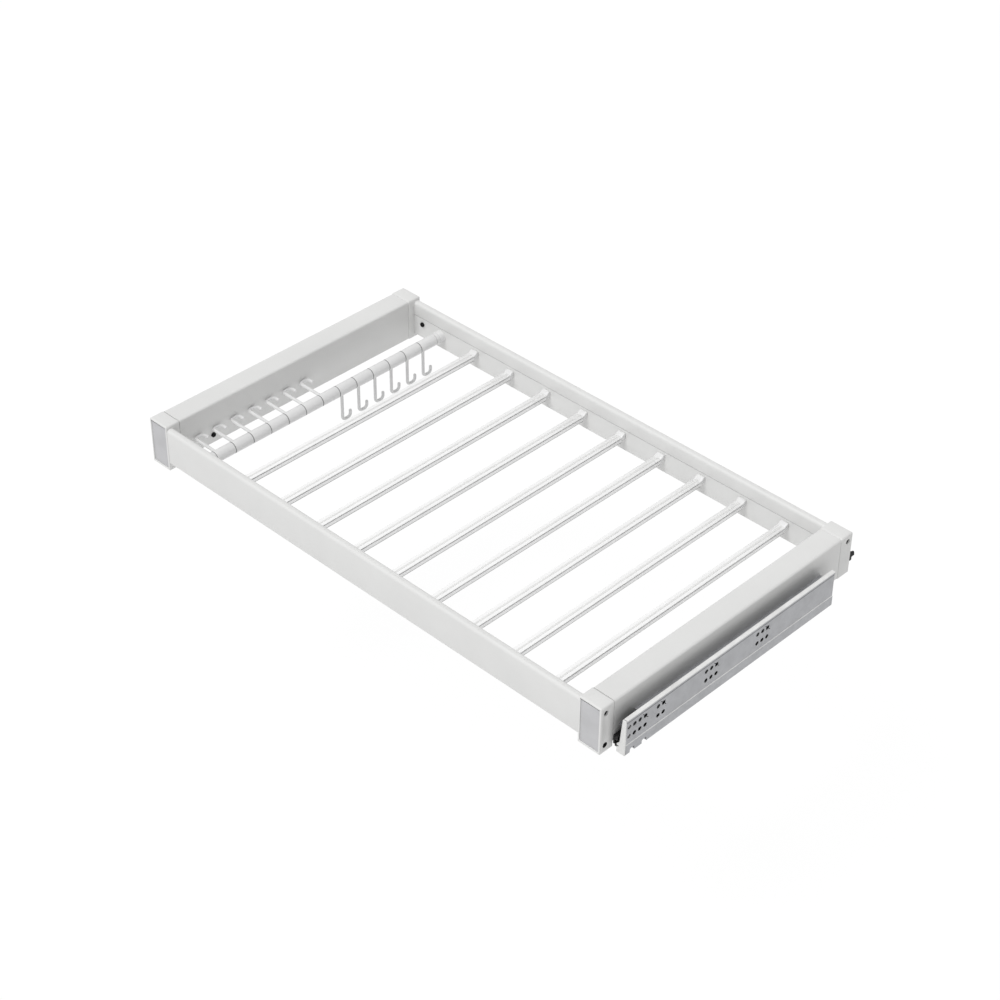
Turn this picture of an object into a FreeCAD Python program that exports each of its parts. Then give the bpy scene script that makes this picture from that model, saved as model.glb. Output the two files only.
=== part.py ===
"""Pull-out trouser rack: a frame of two side rails and two beams on telescopic slides,
with nine trouser bars and one tube of swivelling hooks.

Natural axes while modelling: X across the rack from its middle, Y from the front face of the
corner blocks to the rear, Z up from the foot of the front blocks. Every finished sub-part is
then moved so that the origin is the centre of the whole rack's bounding box.
Right-hand pieces have side = +1 and left-hand pieces side = -1.
"""
import FreeCAD, Part
import math
import os
import Sketcher

V = FreeCAD.Vector
AXES = {"x": V(1, 0, 0), "y": V(0, 1, 0), "z": V(0, 0, 1)}
LEFT, RIGHT = -1, 1
SIDES = {"left": LEFT, "right": RIGHT}

BAR_COUNT = 9
HOOK_COUNT = 13
RAISED_HOOKS = 7  # hooks nearest the front, stored swung up towards the left rail
BALLS_PER_ROW = 8
HOLE_GROUPS = ((0, 4), (1, 2), (4, 3), (7, 3))  # (fixing pitches along, columns of holes)

DRIVING_SIZES = (
    ("frame_width", 824, "outer faces of the corner blocks"),
    ("frame_depth", 471, "front face of the front blocks to rear face of the rear blocks"),
    ("block_width", 35, "corner block across"),
    ("block_depth", 23, "corner block front to rear"),
    ("block_height", 71, "front corner block"),
    ("block_edge", 2.5, "rounding of a block's top edges"),
    ("block_corner", 1.2, "rounding of a block's upright edges"),
    ("foot_rise", 7, "rear blocks end this much higher than the front blocks"),
    ("inlay_margin", 2.6, "rim of the front block around its inlay"),
    ("inlay_recess", 1.8, "depth of the inlay's seat"),
    ("inlay_thickness", 1.1, "inlay plate"),
    ("rail_inset", 0.5, "blocks stand proud of the rails by this"),
    ("rail_wall", 1.8, "wall of the rail extrusion"),
    ("rail_edge", 3, "rounding of the rail's top edges"),
    ("rib_thickness", 6, "rail rib that carries a screw port"),
    ("rib_inset", 20.5, "rib centre from the rail's top and bottom"),
    ("spigot_length", 18, "block's tongue inside a rail"),
    ("spigot_play", 0.2, "play of a tongue in its hollow"),
    ("beam_thickness", 11, "beam front to rear"),
    ("beam_setback", 1, "beam's outer face behind the block's outer face"),
    ("beam_margin", 4.3, "rail taller than the beam by this, above and below"),
    ("beam_wall", 1.5, "wall of the beam extrusion"),
    ("beam_edge", 4.5, "rounding of the beam's top edges"),
    ("band_height", 33.7, "lower band of the beam's inner face, which carries the bars"),
    ("band_recess", 0.8, "depth of the lower band"),
    ("port_height", 9, "solid web in the beam that carries its screw port"),
    ("port_drop", 11, "upper block screw below the block's top"),
    ("tongue_length", 28, "block's tongue inside a beam"),
    ("bar_width", 12.4, "trouser bar across"),
    ("bar_height", 9.6, "trouser bar tall"),
    ("bar_edge", 0.9, "rounding of the bar's top edges"),
    ("bar_foot_edge", 2.6, "rounding of the bar's lower edges"),
    ("bar_wall", 1.2, "least wall of the bar extrusion"),
    ("groove_depth", 1.4, "side groove of the bar"),
    ("groove_height", 1.2, "side groove of the bar"),
    ("groove_rise", 3.1, "middle of the side groove above the bar's axis"),
    ("grip_width", 2.7, "anti-slip strip in the top of the bar"),
    ("grip_depth", 1.2, "seat of the anti-slip strip"),
    ("grip_proud", 0.2, "anti-slip strip above the bar"),
    ("clip_length", 8, "bar's end to the beam"),
    ("clip_rise", 8.5, "clip's foot above the bar's axis"),
    ("plug_length", 10, "clip's plug inside the bar"),
    ("axis_rise", 20.5, "axis of bars and tube above the beam's underside"),
    ("right_margin", 63, "last bar's axis from the right rail"),
    ("tube_radius", 5, "hook tube"),
    ("tube_wall", 1.2, "hook tube"),
    ("cup_radius", 9.2, "cup that carries an end of the tube"),
    ("cup_edge", 1.5, "rounding of the cup's rim"),
    ("hub_radius", 8.6, "hook's hub and the sleeves at the tube's ends"),
    ("hub_lead", 9.5, "hook's hub ahead of its arm"),
    ("hub_gap", 0.35, "hook's hub to the next hub or sleeve"),
    ("running_gap", 0.05, "radial play of whatever turns on a pin or tube"),
    ("hook_reach", 54.6, "tube axis to the far side of the hook"),
    ("hook_clearance", 0.5, "raised hook to the left rail"),
    ("hook_wire", 2.3, "radius of the hook's round section"),
    ("hook_mouth", 14.8, "hook's arm to its tip, centre to centre"),
    ("hook_rise", 13.5, "hook's tip above its far side"),
    ("hook_bend", 5.5, "bend radius of the hook at mid section"),
    ("hook_front_margin", 33.2, "first hook from the front beam"),
    ("hook_rear_margin", 36.2, "last hook from the rear beam"),
    ("slide_space", 20, "corner block to the cabinet's side panel"),
    ("slide_drop", 3, "slide's underside below the front block's foot"),
    ("slide_height", 54, "cabinet member tall"),
    ("slide_sheet", 1.5, "sheet of the cabinet member"),
    ("member_sheet", 1.2, "sheet of the moving members"),
    ("flange_width", 5.6, "top flange of the cabinet member"),
    ("tray_width", 13, "bottom flange of the cabinet member"),
    ("tray_lip", 2.4, "lip of the bottom flange, over its top face"),
    ("race_height", 46, "upper race above the slide's underside"),
    ("slide_front_gap", 0.7, "slide's front end behind the front block"),
    ("slide_rear_gap", 59, "slide's rear end before the rack's rear"),
    ("member_end_gap", 2, "moving members end before the cabinet member"),
    ("mid_flange", 5.4, "flange of the middle member that runs in the cabinet member"),
    ("web_inset", 8.5, "middle member's web from the panel side of the slide"),
    ("drawer_flange", 9.5, "drawer member's flange from the block's face"),
    ("inner_race_offset", 8.6, "inner balls from the block's face"),
    ("outer_race_offset", 4, "outer balls from the cabinet panel"),
    ("ball_radius", 1.5, "slide ball"),
    ("ball_play", 0.05, "ball to its races"),
    ("cage_thickness", 0.9, "ball retainer strip"),
    ("cage_width", 3, "ball retainer strip"),
    ("cage_length", 205, "ball retainer strip"),
    ("cage_setback", 91, "retainer behind the slide's front end"),
    ("nose_thickness", 1.8, "plastic end cap of the middle member"),
    ("nose_gap", 0.4, "end cap before the cabinet member"),
    ("nose_plug", 12, "end cap's plug in the middle member"),
    ("nose_play", 0.5, "drawer member's lower flange to its slot in the end cap"),
    ("nose_shoulder", 4.1, "end cap's shoulder out from its inner edge"),
    ("hole_radius", 3.1, "fixing hole in the cabinet member"),
    ("hole_pitch", 9.4, "columns of fixing holes"),
    ("hole_rise", 26.8, "lower row of fixing holes above the slide's underside"),
    ("hole_row_gap", 14.2, "upper row above the lower row"),
    ("first_fixing", 33.3, "first main fixing column behind the slide's front end"),
    ("fixing_pitch", 32, "cabinet drilling pitch"),
    ("notch_width", 9, "notch in the slide's lower front edge"),
    ("notch_height", 6.5, "notch in the slide's lower front edge"),
    ("notch_first", 7, "first notch behind the slide's front end"),
    ("notch_pitch", 21, "second notch behind the first"),
    ("clip_block_length", 35, "black front clip along the rail"),
    ("clip_block_width", 6.5, "black front clip out from the rail"),
    ("clip_block_height", 17, "top of the front clip above the front block's foot"),
    ("clip_plate", 1.8, "back plate of the front clip"),
    ("lever_gap", 0.4, "release lever to the front clip"),
    ("pivot_radius", 1.4, "release lever's pivot"),
    ("pivot_rise", 6.5, "pivot above the front block's foot"),
    ("pivot_inset", 6, "pivot before the clip's rear end"),
    ("screw_radius", 2, "frame screw shank"),
    ("head_radius", 3.6, "frame screw head"),
    ("head_height", 2.4, "frame screw head"),
    ("screw_play", 0.15, "screw in its hole"),
    ("sink_depth", 4, "counterbore for a frame screw"),
    ("frame_screw_length", 30, "frame screw shank"),
    ("beam_screw_inset", 17, "beam screw from the block"),
    ("beam_screw_rise", 23, "beam screw above the beam's underside"),
    ("side_screw_inset", 9, "side screw behind the block's outer end face"),
    ("lower_hole_rise", 10.5, "blind side hole above the front block's foot"),
    ("blind_depth", 14, "blind side hole of the front block"),
    ("slide_bolt_setback", 55, "first slide bolt behind the front block"),
    ("last_slide_screw", 32, "last slide screw from the drawer member's rear end"),
    ("hook_plate", 1.5, "rear hook's sheet"),
    ("rear_hook_depth", 12, "rear hook out from the rear block"),
    ("rear_hook_width", 10, "rear hook's plate across"),
    ("rear_hook_inset", 2, "rear hook from the block's outer face"),
    ("rear_hook_tall", 16, "rear hook's prong"),
    ("rear_plate_tall", 28, "rear hook's plate"),
    ("rear_plate_rise", 2, "rear hook's plate above the rear block's foot"),
    ("screw_inset", 7, "rear hook's screw above the plate's foot"),
)


class Dim:
    """A length that knows its present value and the sheet formula that gives it."""

    def __init__(self, value, text):
        self.value = value
        self.text = text

    @staticmethod
    def of(thing):
        """Wrap a plain number; leave a Dim as it is."""
        return thing if isinstance(thing, Dim) else Dim(float(thing), "%.6g" % thing)

    def _join(self, other, sign, value):
        return Dim(value, "(%s %s %s)" % (self.text, sign, Dim.of(other).text))

    def __add__(self, other):
        return self._join(other, "+", self.value + Dim.of(other).value)

    def __sub__(self, other):
        return self._join(other, "-", self.value - Dim.of(other).value)

    def __mul__(self, other):
        return self._join(other, "*", self.value * Dim.of(other).value)

    def __truediv__(self, other):
        return self._join(other, "/", self.value / Dim.of(other).value)

    def __radd__(self, other):
        return Dim.of(other) + self

    def __rsub__(self, other):
        return Dim.of(other) - self

    def __rmul__(self, other):
        return Dim.of(other) * self

    def __neg__(self):
        return Dim(-self.value, "(0 - %s)" % self.text)


ZERO = Dim.of(0)


class Sizes:
    """The spreadsheet of driving sizes; each alias reads as an attribute that is a Dim."""

    def __init__(self, doc, rows):
        self.sheet = doc.addObject("Spreadsheet::Sheet", "Sizes")
        for line, (alias, value, note) in enumerate(rows, start=1):
            self.sheet.set("A%d" % line, "'" + alias)
            self.sheet.set("B%d" % line, str(value))
            self.sheet.set("C%d" % line, "'" + note)
            self.sheet.setAlias("B%d" % line, alias)
            setattr(self, alias, Dim(float(value), "Sizes." + alias))


doc = FreeCAD.newDocument("TrouserRack")
d = Sizes(doc, DRIVING_SIZES)
doc.recompute()
finished = []  # sub-parts to export, in order
cuts_to_check = []  # (feature, the feature it cuts)

# ---- places that several pieces share ----------------------------------------------------
half_width = d.frame_width / 2
rail_width = d.block_width - 2 * d.rail_inset
rail_middle = half_width - d.block_width / 2
rail_bottom = d.foot_rise + d.rail_inset
rail_top = d.block_height - d.rail_inset
rail_front = d.block_depth
rail_length = d.frame_depth - 2 * d.block_depth
lower_rib = rail_bottom + d.rib_inset
upper_rib = rail_top - d.rib_inset
inner_face = half_width - d.block_width  # of a corner block, from the middle
rail_inner_face = rail_middle - rail_width / 2

beam_bottom = rail_bottom + d.beam_margin
beam_top = rail_top - d.beam_margin
beam_height = beam_top - beam_bottom
band_front = d.beam_setback + d.beam_thickness - d.band_recess
band_rear = d.frame_depth - band_front
beam_port = d.block_height - d.port_drop
clear_depth = band_rear - band_front

axis_height = beam_bottom + d.axis_rise
tube_place = d.hook_reach + d.hook_clearance - rail_inner_face  # X of the tube's axis
bar_pitch = (rail_inner_face - d.right_margin - tube_place) / BAR_COUNT
hook_pitch = (clear_depth - d.hook_front_margin - d.hook_rear_margin) / (HOOK_COUNT - 1)
first_hook = band_front + d.hook_front_margin
bar_length = clear_depth - 2 * d.clip_length

slide_bottom = -d.slide_drop
slide_front = d.block_depth + d.slide_front_gap
slide_rear = d.frame_depth - d.slide_rear_gap
slide_length = slide_rear - slide_front
member_rear = slide_rear - d.member_end_gap
ball_room = 2 * (d.ball_radius + d.ball_play)
upper_race = slide_bottom + d.race_height
mid_top = upper_race - ball_room
mid_bottom = slide_bottom + d.slide_sheet + ball_room
drawer_top = mid_top - d.member_sheet - ball_room
drawer_bottom = mid_bottom + d.member_sheet + ball_room
drawer_middle = (drawer_top + drawer_bottom) / 2
tray_edge = d.slide_space - d.tray_width
web_outer = d.slide_space - d.web_inset
web_inner = web_outer + d.member_sheet
clip_rear = slide_front + d.clip_block_length
drawer_front = clip_rear + d.lever_gap
first_slide_screw = d.block_depth + d.slide_bolt_setback
slide_screw_pitch = (member_rear - d.last_slide_screw - first_slide_screw) / 2
slide_screw_places = [first_slide_screw + slide_screw_pitch * step for step in range(3)]
screw_hole = d.screw_radius + d.screw_play
rail_side = -d.rail_inset  # rail's outer face, out from the corner block's face
clip_ledge = d.pivot_rise + 3 * d.pivot_radius
clip_stud = (slide_front + clip_rear) / 2
stud_height = (clip_ledge + d.clip_block_height) / 2
rear_screw_height = d.foot_rise + d.rear_plate_rise + d.screw_inset
rear_screw_place = half_width - d.rear_hook_inset - d.rear_hook_width / 2

rear_reach = d.frame_depth + d.rear_hook_depth
centre_y = rear_reach / 2
centre_z = (d.block_height + axis_height - d.hook_reach) / 2


# ---- helpers -----------------------------------------------------------------------------
def bind(thing, path, dim):
    """Tie one property of a document object to its sheet formula."""
    thing.setExpression(path, Dim.of(dim).text)


def place(thing, x=ZERO, y=ZERO, z=ZERO, turn=None):
    """Give a finished sub-part its place, measured from the rack's centre, and list it."""
    if turn is not None:
        thing.Placement = FreeCAD.Placement(V(0, 0, 0), turn)
    bind(thing, "Placement.Base.x", x)
    bind(thing, "Placement.Base.y", y - centre_y)
    bind(thing, "Placement.Base.z", z - centre_z)
    finished.append(thing)
    return thing


def new_body(label):
    """Start an empty PartDesign body whose label names its file."""
    body = doc.addObject("PartDesign::Body", label)
    body.Label = label
    return body


def rectangle(low_x, low_y, high_x, high_y):
    """Corners of an upright rectangle."""
    return [(low_x, low_y), (high_x, low_y), (high_x, high_y), (low_x, high_y)]


def bind_coordinate(sketch, geometry, end, name, letter, value):
    """Hold one coordinate, x or y, of a sketch point at its sheet-driven value."""
    value = Dim.of(value)
    if abs(value.value) < 1e-9:
        axis = -2 if letter == "x" else -1
        sketch.addConstraint(Sketcher.Constraint("PointOnObject", geometry, end, axis))
        return
    rule = "Distance" + letter.upper()
    made = sketch.addConstraint(Sketcher.Constraint(rule, -1, 1, geometry, end, value.value))
    sketch.renameConstraint(made, name + letter)
    bind(sketch, "Constraints." + name + letter, value)


def bind_point(sketch, geometry, end, name, place_2d):
    """Hold both coordinates of one point of a sketch."""
    for letter, value in zip("xy", place_2d):
        bind_coordinate(sketch, geometry, end, name, letter, value)


def draw(body, role, loops, circles=(), start=ZERO):
    """Sketch closed loops and circles on one of a body's own origin planes."""
    plane = [item for item in body.Origin.OriginFeatures if item.Role == role][0]
    sketch = body.newObject("Sketcher::SketchObject", body.Name + "Sketch")
    sketch.AttachmentSupport = [(plane, "")]
    sketch.MapMode = "FlatFace"
    normal = -1 if role == "XZ_Plane" else 1
    bind(sketch, "AttachmentOffset.Base.z", normal * Dim.of(start))
    number = 0
    for loop in loops:
        corners = [(Dim.of(x), Dim.of(y)) for x, y in loop]
        first = number
        for index, corner in enumerate(corners):
            after = corners[(index + 1) % len(corners)]
            line = Part.LineSegment(V(corner[0].value, corner[1].value, 0),
                                    V(after[0].value, after[1].value, 0))
            sketch.addGeometry(line, False)
            number += 1
        for index, corner in enumerate(corners):
            after = first + (index + 1) % len(corners)
            sketch.addConstraint(Sketcher.Constraint("Coincident", first + index, 2, after, 1))
            bind_point(sketch, first + index, 1, "p%d" % (first + index), corner)
    for x, y, radius in circles:
        x, y, radius = Dim.of(x), Dim.of(y), Dim.of(radius)
        sketch.addGeometry(Part.Circle(V(x.value, y.value, 0), V(0, 0, 1), radius.value), False)
        made = sketch.addConstraint(Sketcher.Constraint("Radius", number, radius.value))
        sketch.renameConstraint(made, "r%d" % number)
        bind(sketch, "Constraints.r%d" % number, radius)
        bind_point(sketch, number, 3, "c%d" % number, (x, y))
        number += 1
    return sketch


def pad(body, role, loops, start, length, circles=()):
    """Extrude a sketch from start towards the plus side of its plane."""
    sketch = draw(body, role, loops, circles, start)
    feature = body.newObject("PartDesign::Pad", body.Name + "Pad")
    feature.Profile = sketch
    feature.Reversed = role == "XZ_Plane"
    bind(feature, "Length", length)
    return feature


def pocket(body, role, loops, start, length, circles=()):
    """Cut a sketch from start towards the plus side of its plane."""
    base = body.Tip
    sketch = draw(body, role, loops, circles, start)
    feature = body.newObject("PartDesign::Pocket", body.Name + "Pocket")
    feature.Profile = sketch
    feature.Reversed = role != "XZ_Plane"
    bind(feature, "Length", length)
    cuts_to_check.append((feature, base))
    return feature


def fillet(body, radius, wanted):
    """Round the edges of a body that the test picks, given each edge's middle and bounds."""
    doc.recompute()
    base = body.Tip
    names = ["Edge%d" % number for number, edge in enumerate(base.Shape.Edges, start=1)
             if wanted(edge)]
    feature = body.newObject("PartDesign::Fillet", body.Name + "Fillet")
    feature.Base = (base, names)
    bind(feature, "Radius", radius)
    return feature


def runs_along(edge, axis):
    """Whether an edge is a straight line along one axis."""
    if edge.Curve.TypeId != "Part::GeomLine":
        return False
    return abs(abs(edge.Curve.Direction.dot(AXES[axis])) - 1) < 1e-6


def near(value, dim):
    """Whether a measured coordinate is the one that a Dim gives."""
    return abs(value - Dim.of(dim).value) < 1e-4


def cylinder(name, axis, radius, length, x, y, z):
    """Part cylinder that starts at a point and runs along the plus axis."""
    thing = doc.addObject("Part::Cylinder", name)
    bind(thing, "Radius", radius)
    bind(thing, "Height", length)
    thing.Placement.Rotation = FreeCAD.Rotation(V(0, 0, 1), AXES[axis])
    bind(thing, "Placement.Base.x", x)
    bind(thing, "Placement.Base.y", y)
    bind(thing, "Placement.Base.z", z)
    return thing


def block(name, low, size):
    """Part box from its low corner and its three sizes."""
    thing = doc.addObject("Part::Box", name)
    for path, dim in zip(("Length", "Width", "Height"), size):
        bind(thing, path, dim)
    for path, dim in zip("xyz", low):
        bind(thing, "Placement.Base." + path, dim)
    return thing


def ball(name, radius, x, y, z):
    """Part sphere at a point."""
    thing = doc.addObject("Part::Sphere", name)
    bind(thing, "Radius", radius)
    for path, dim in zip("xyz", (x, y, z)):
        bind(thing, "Placement.Base." + path, dim)
    return thing


def subtract(name, base, tools):
    """Part cut of one or more tools from a base."""
    tool = tools[0]
    if len(tools) > 1:
        tool = doc.addObject("Part::MultiFuse", name + "Tools")
        tool.Shapes = tools
    thing = doc.addObject("Part::Cut", name)
    thing.Base = base
    thing.Tool = tool
    cuts_to_check.append((thing, base))
    return thing


def join(name, pieces):
    """Part union of pieces into one solid."""
    thing = doc.addObject("Part::MultiFuse", name)
    thing.Shapes = pieces
    return thing


def group(label, pieces):
    """One node that holds several separate solids."""
    thing = doc.addObject("Part::Compound", label)
    thing.Label = label
    thing.Links = pieces
    return place(thing)


def screw(name, axis, point, length, facing=1):
    """A screw whose shank runs from a point along an axis; its head sits before the point."""
    x, y, z = point
    back = [ZERO, ZERO, ZERO]
    where = "xyz".index(axis)
    shank_low = [x, y, z]
    if facing > 0:
        back[where] = -d.head_height
    else:
        shank_low[where] = shank_low[where] - length
    head_low = [a + b for a, b in zip((x, y, z), back)]
    shank = cylinder(name + "Shank", axis, d.screw_radius, length, *shank_low)
    head = cylinder(name + "Head", axis, d.head_radius, d.head_height, *head_low)
    return join(name, [shank, head])


def outward(side, near_face, far_face):
    """Low X of a piece that spans two distances outward from a block's outer face."""
    return half_width + near_face if side > 0 else -(half_width + far_face)


# ---- side rails and beams ----------------------------------------------------------------
def side_rail(label, side):
    """Three-celled extrusion, open at both ends for the blocks' tongues."""
    body = new_body(label)
    half = rail_width / 2
    cell = half - d.rail_wall
    outline = rectangle(-half, rail_bottom, half, rail_top)
    rib = d.rib_thickness / 2
    cells = [
        rectangle(-cell, rail_bottom + d.rail_wall, cell, lower_rib - rib),
        rectangle(-cell, lower_rib + rib, cell, upper_rib - rib),
        rectangle(-cell, upper_rib + rib, cell, rail_top - d.rail_wall),
    ]
    ports = [(0, lower_rib, d.screw_radius), (0, upper_rib, d.screw_radius)]
    pad(body, "XZ_Plane", [outline] + cells, rail_front, rail_length, ports)
    bolt, *short = [(y, drawer_middle, screw_hole) for y in slide_screw_places]
    pocket(body, "YZ_Plane", [], -half, rail_width, [bolt])
    outer = half - d.rail_wall if side > 0 else -half
    pocket(body, "YZ_Plane", [], outer, d.rail_wall, short)
    stud_hole = d.pivot_radius + d.running_gap
    pocket(body, "YZ_Plane", [], outer, d.rail_wall, [(clip_stud, stud_height, stud_hole)])
    fillet(body, d.rail_edge, lambda edge: runs_along(edge, "y")
           and near(edge.BoundBox.ZMin, rail_top))
    return place(body, x=side * rail_middle)


def beam(label, front):
    """Hollow extrusion between two blocks; its inner face has a recessed lower band."""
    body = new_body(label)
    inward = 1 if front else -1
    outer = d.beam_setback if front else d.frame_depth - d.beam_setback

    def across(depth):
        return outer + inward * depth

    band = d.beam_thickness - d.band_recess
    step = beam_bottom + d.band_height
    web_low = beam_port - d.port_height / 2
    outline = [
        (across(0), beam_bottom), (across(band), beam_bottom), (across(band), step),
        (across(d.beam_thickness), step), (across(d.beam_thickness), beam_top),
        (across(0), beam_top),
    ]
    hollow_depth = band - d.beam_wall
    cell = rectangle(across(d.beam_wall), beam_bottom + d.beam_wall,
                     across(hollow_depth), web_low)
    port = (across(side_screw_depth), beam_port, d.screw_radius)
    pad(body, "YZ_Plane", [outline, cell], -inner_face, 2 * inner_face, [port])
    hole_depth = across(hollow_depth) if front else across(band)
    screw_place = inner_face - d.beam_screw_inset
    holes = [(end * screw_place, beam_bottom + d.beam_screw_rise, screw_hole)
             for end in (LEFT, RIGHT)]
    pocket(body, "XZ_Plane", [], hole_depth, d.beam_wall, holes)
    fillet(body, d.beam_edge, lambda edge: runs_along(edge, "x")
           and near(edge.BoundBox.ZMin, beam_top))
    return place(body)


side_screw_depth = d.side_screw_inset - d.beam_setback

for name, side in SIDES.items():
    side_rail("side_rail_" + name, side)
beam("front_beam", True)
beam("rear_beam", False)


# ---- corner blocks and their inlays ------------------------------------------------------
def corner_block(label, side, front):
    """Moulded corner with a tongue for the rail, a tongue for the beam and screw seats."""
    body = new_body(label)
    low_x = inner_face if side > 0 else -half_width
    low_y = ZERO if front else d.frame_depth - d.block_depth
    low_z = ZERO if front else d.foot_rise
    high_y = low_y + d.block_depth
    pad(body, "XY_Plane", [rectangle(low_x, low_y, low_x + d.block_width, high_y)],
        low_z, d.block_height - low_z)
    fillet(body, d.block_corner, lambda edge: runs_along(edge, "z"))
    fillet(body, d.block_edge, lambda edge: near(edge.BoundBox.ZMin, d.block_height))

    tongue = rail_width / 2 - d.rail_wall - d.spigot_play
    rib = d.rib_thickness / 2 + d.spigot_play
    middle = side * rail_middle
    spigot = rectangle(middle - tongue, lower_rib + rib, middle + tongue, upper_rib - rib)
    start = high_y if front else low_y - d.spigot_length
    pad(body, "XZ_Plane", [spigot], start, d.spigot_length)

    band = d.beam_thickness - d.band_recess
    near_wall = d.beam_setback + d.beam_wall + d.spigot_play
    far_wall = d.beam_setback + band - d.beam_wall - d.spigot_play
    y_pair = (near_wall, far_wall) if front else (d.frame_depth - far_wall,
                                                  d.frame_depth - near_wall)
    beam_tongue = rectangle(y_pair[0], beam_bottom + d.beam_wall + d.spigot_play,
                            y_pair[1], beam_port - d.port_height / 2 - d.spigot_play)
    tongue_start = inner_face - d.tongue_length if side > 0 else -inner_face
    pad(body, "YZ_Plane", [beam_tongue], tongue_start, d.tongue_length)
    hole_y = y_pair[0]
    hole = (side * (inner_face - d.beam_screw_inset), beam_bottom + d.beam_screw_rise,
            d.screw_radius)
    pocket(body, "XZ_Plane", [], hole_y, y_pair[1] - y_pair[0], [hole])

    seats = [(middle, lower_rib), (middle, upper_rib)]
    through = [(x, z, screw_hole) for x, z in seats]
    pocket(body, "XZ_Plane", [], low_y, d.block_depth, through)
    sink = d.head_radius + d.screw_play
    wide = [(x, z, sink) for x, z in seats]
    seat_depth = d.sink_depth + (d.inlay_recess if front else ZERO)
    sink_start = ZERO if front else d.frame_depth - seat_depth
    pocket(body, "XZ_Plane", [], sink_start, seat_depth, wide)

    outer = half_width - d.sink_depth if side > 0 else -half_width
    screw_y = d.side_screw_inset if front else d.frame_depth - d.side_screw_inset
    pocket(body, "YZ_Plane", [], outer, d.sink_depth, [(screw_y, beam_port, sink)])
    bore_start = inner_face if side > 0 else -half_width
    pocket(body, "YZ_Plane", [], bore_start, d.block_width, [(screw_y, beam_port, screw_hole)])

    if front:
        blind = half_width - d.blind_depth if side > 0 else -half_width
        pocket(body, "YZ_Plane", [], blind, d.blind_depth,
               [(screw_y, d.lower_hole_rise, sink)])
        pocket(body, "XZ_Plane", [inlay_outline(side, ZERO)], ZERO, d.inlay_recess)
    else:
        pocket(body, "XZ_Plane", [], high_y - d.blind_depth, d.blind_depth,
               [(side * rear_screw_place, rear_screw_height, d.screw_radius)])
    return place(body)


def inlay_outline(side, play):
    """The inlay's rectangle on the front face of a front block, less some play."""
    middle = side * rail_middle
    across = d.block_width / 2 - d.inlay_margin - play
    margin = d.inlay_margin + play
    return rectangle(middle - across, margin, middle + across, d.block_height - margin)


def inlay(label, side):
    """Thin plate set in the front face of a front block, over its screws."""
    body = new_body(label)
    seat = d.inlay_recess - d.inlay_thickness
    pad(body, "XZ_Plane", [inlay_outline(side, d.spigot_play)], seat, d.inlay_thickness)
    return place(body)


for name, side in SIDES.items():
    corner_block("corner_block_front_" + name, side, True)
    corner_block("corner_block_rear_" + name, side, False)
    inlay("front_inlay_" + name, side)


# ---- trouser bars ------------------------------------------------------------------------
def trouser_bar(label, x):
    """Hollow bar with a groove along each side and a seat for a grip strip on top."""
    body = new_body(label)
    half = d.bar_width / 2
    low = -d.bar_height / 2
    high = d.bar_height / 2
    groove = half - d.groove_depth
    seat = d.grip_width / 2
    floor = d.groove_rise - d.groove_height / 2
    roof = floor + d.groove_height
    right = [(half, low), (half, floor), (groove, floor), (groove, roof), (half, roof),
             (half, high), (seat, high), (seat, high - d.grip_depth)]
    left = [(-px, pz) for px, pz in reversed(right)]
    core = half - d.groove_depth - d.bar_wall
    hollow = rectangle(-core, low + d.bar_wall, core, high - d.grip_depth - d.bar_wall)
    pad(body, "XZ_Plane", [right + left, hollow], band_front + d.clip_length, bar_length)
    fillet(body, d.bar_edge, lambda edge: runs_along(edge, "y")
           and near(edge.BoundBox.ZMin, high) and near(abs(edge.BoundBox.XMin), half))
    fillet(body, d.bar_foot_edge, lambda edge: runs_along(edge, "y")
           and near(edge.BoundBox.ZMin, low) and near(abs(edge.BoundBox.XMin), half))
    return place(body, x=x, z=axis_height)


def grip_strip(name, x):
    """Soft strip seated along the top of a bar."""
    low = axis_height + d.bar_height / 2 - d.grip_depth
    return block(name, (x - d.grip_width / 2, band_front + d.clip_length, low),
                 (d.grip_width, bar_length, d.grip_depth + d.grip_proud))


def bar_clip(name, x, front):
    """Clip between a beam's lower band and a bar: a wedge with a plug in the bar."""
    body = doc.addObject("PartDesign::Body", name)
    inward = 1 if front else -1
    face = band_front if front else band_rear
    half = d.bar_height / 2
    out = face + inward * d.clip_length
    side_view = [
        (face, axis_height + d.clip_rise), (face + inward * d.clip_length / 3,
                                            axis_height + d.clip_rise),
        (out, axis_height + half), (out, axis_height - half + d.bar_foot_edge),
        (face, axis_height),
    ]
    pad(body, "YZ_Plane", [side_view], x - d.bar_width / 2, d.bar_width)
    core = d.bar_width - 2 * (d.groove_depth + d.bar_wall + d.spigot_play)
    plug_low = axis_height - half + d.bar_wall + d.spigot_play
    plug_high = axis_height + half - d.grip_depth - d.bar_wall - d.spigot_play
    plug_start = out if front else out - d.plug_length
    pad(body, "YZ_Plane", [rectangle(plug_start, plug_low, plug_start + d.plug_length,
                                     plug_high)], x - core / 2, core)
    return body


bar_places = [tube_place + bar_pitch * number for number in range(1, BAR_COUNT + 1)]
for number, x in enumerate(bar_places, start=1):
    trouser_bar("trouser_bar_%d" % number, x)
group("bar_grip_strips", [grip_strip("GripStrip%d" % n, x)
                          for n, x in enumerate(bar_places, start=1)])
for end, front in (("front", True), ("rear", False)):
    group("bar_clips_" + end, [bar_clip("BarClip%s%d" % (end, n), x, front)
                               for n, x in enumerate(bar_places, start=1)])


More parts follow.
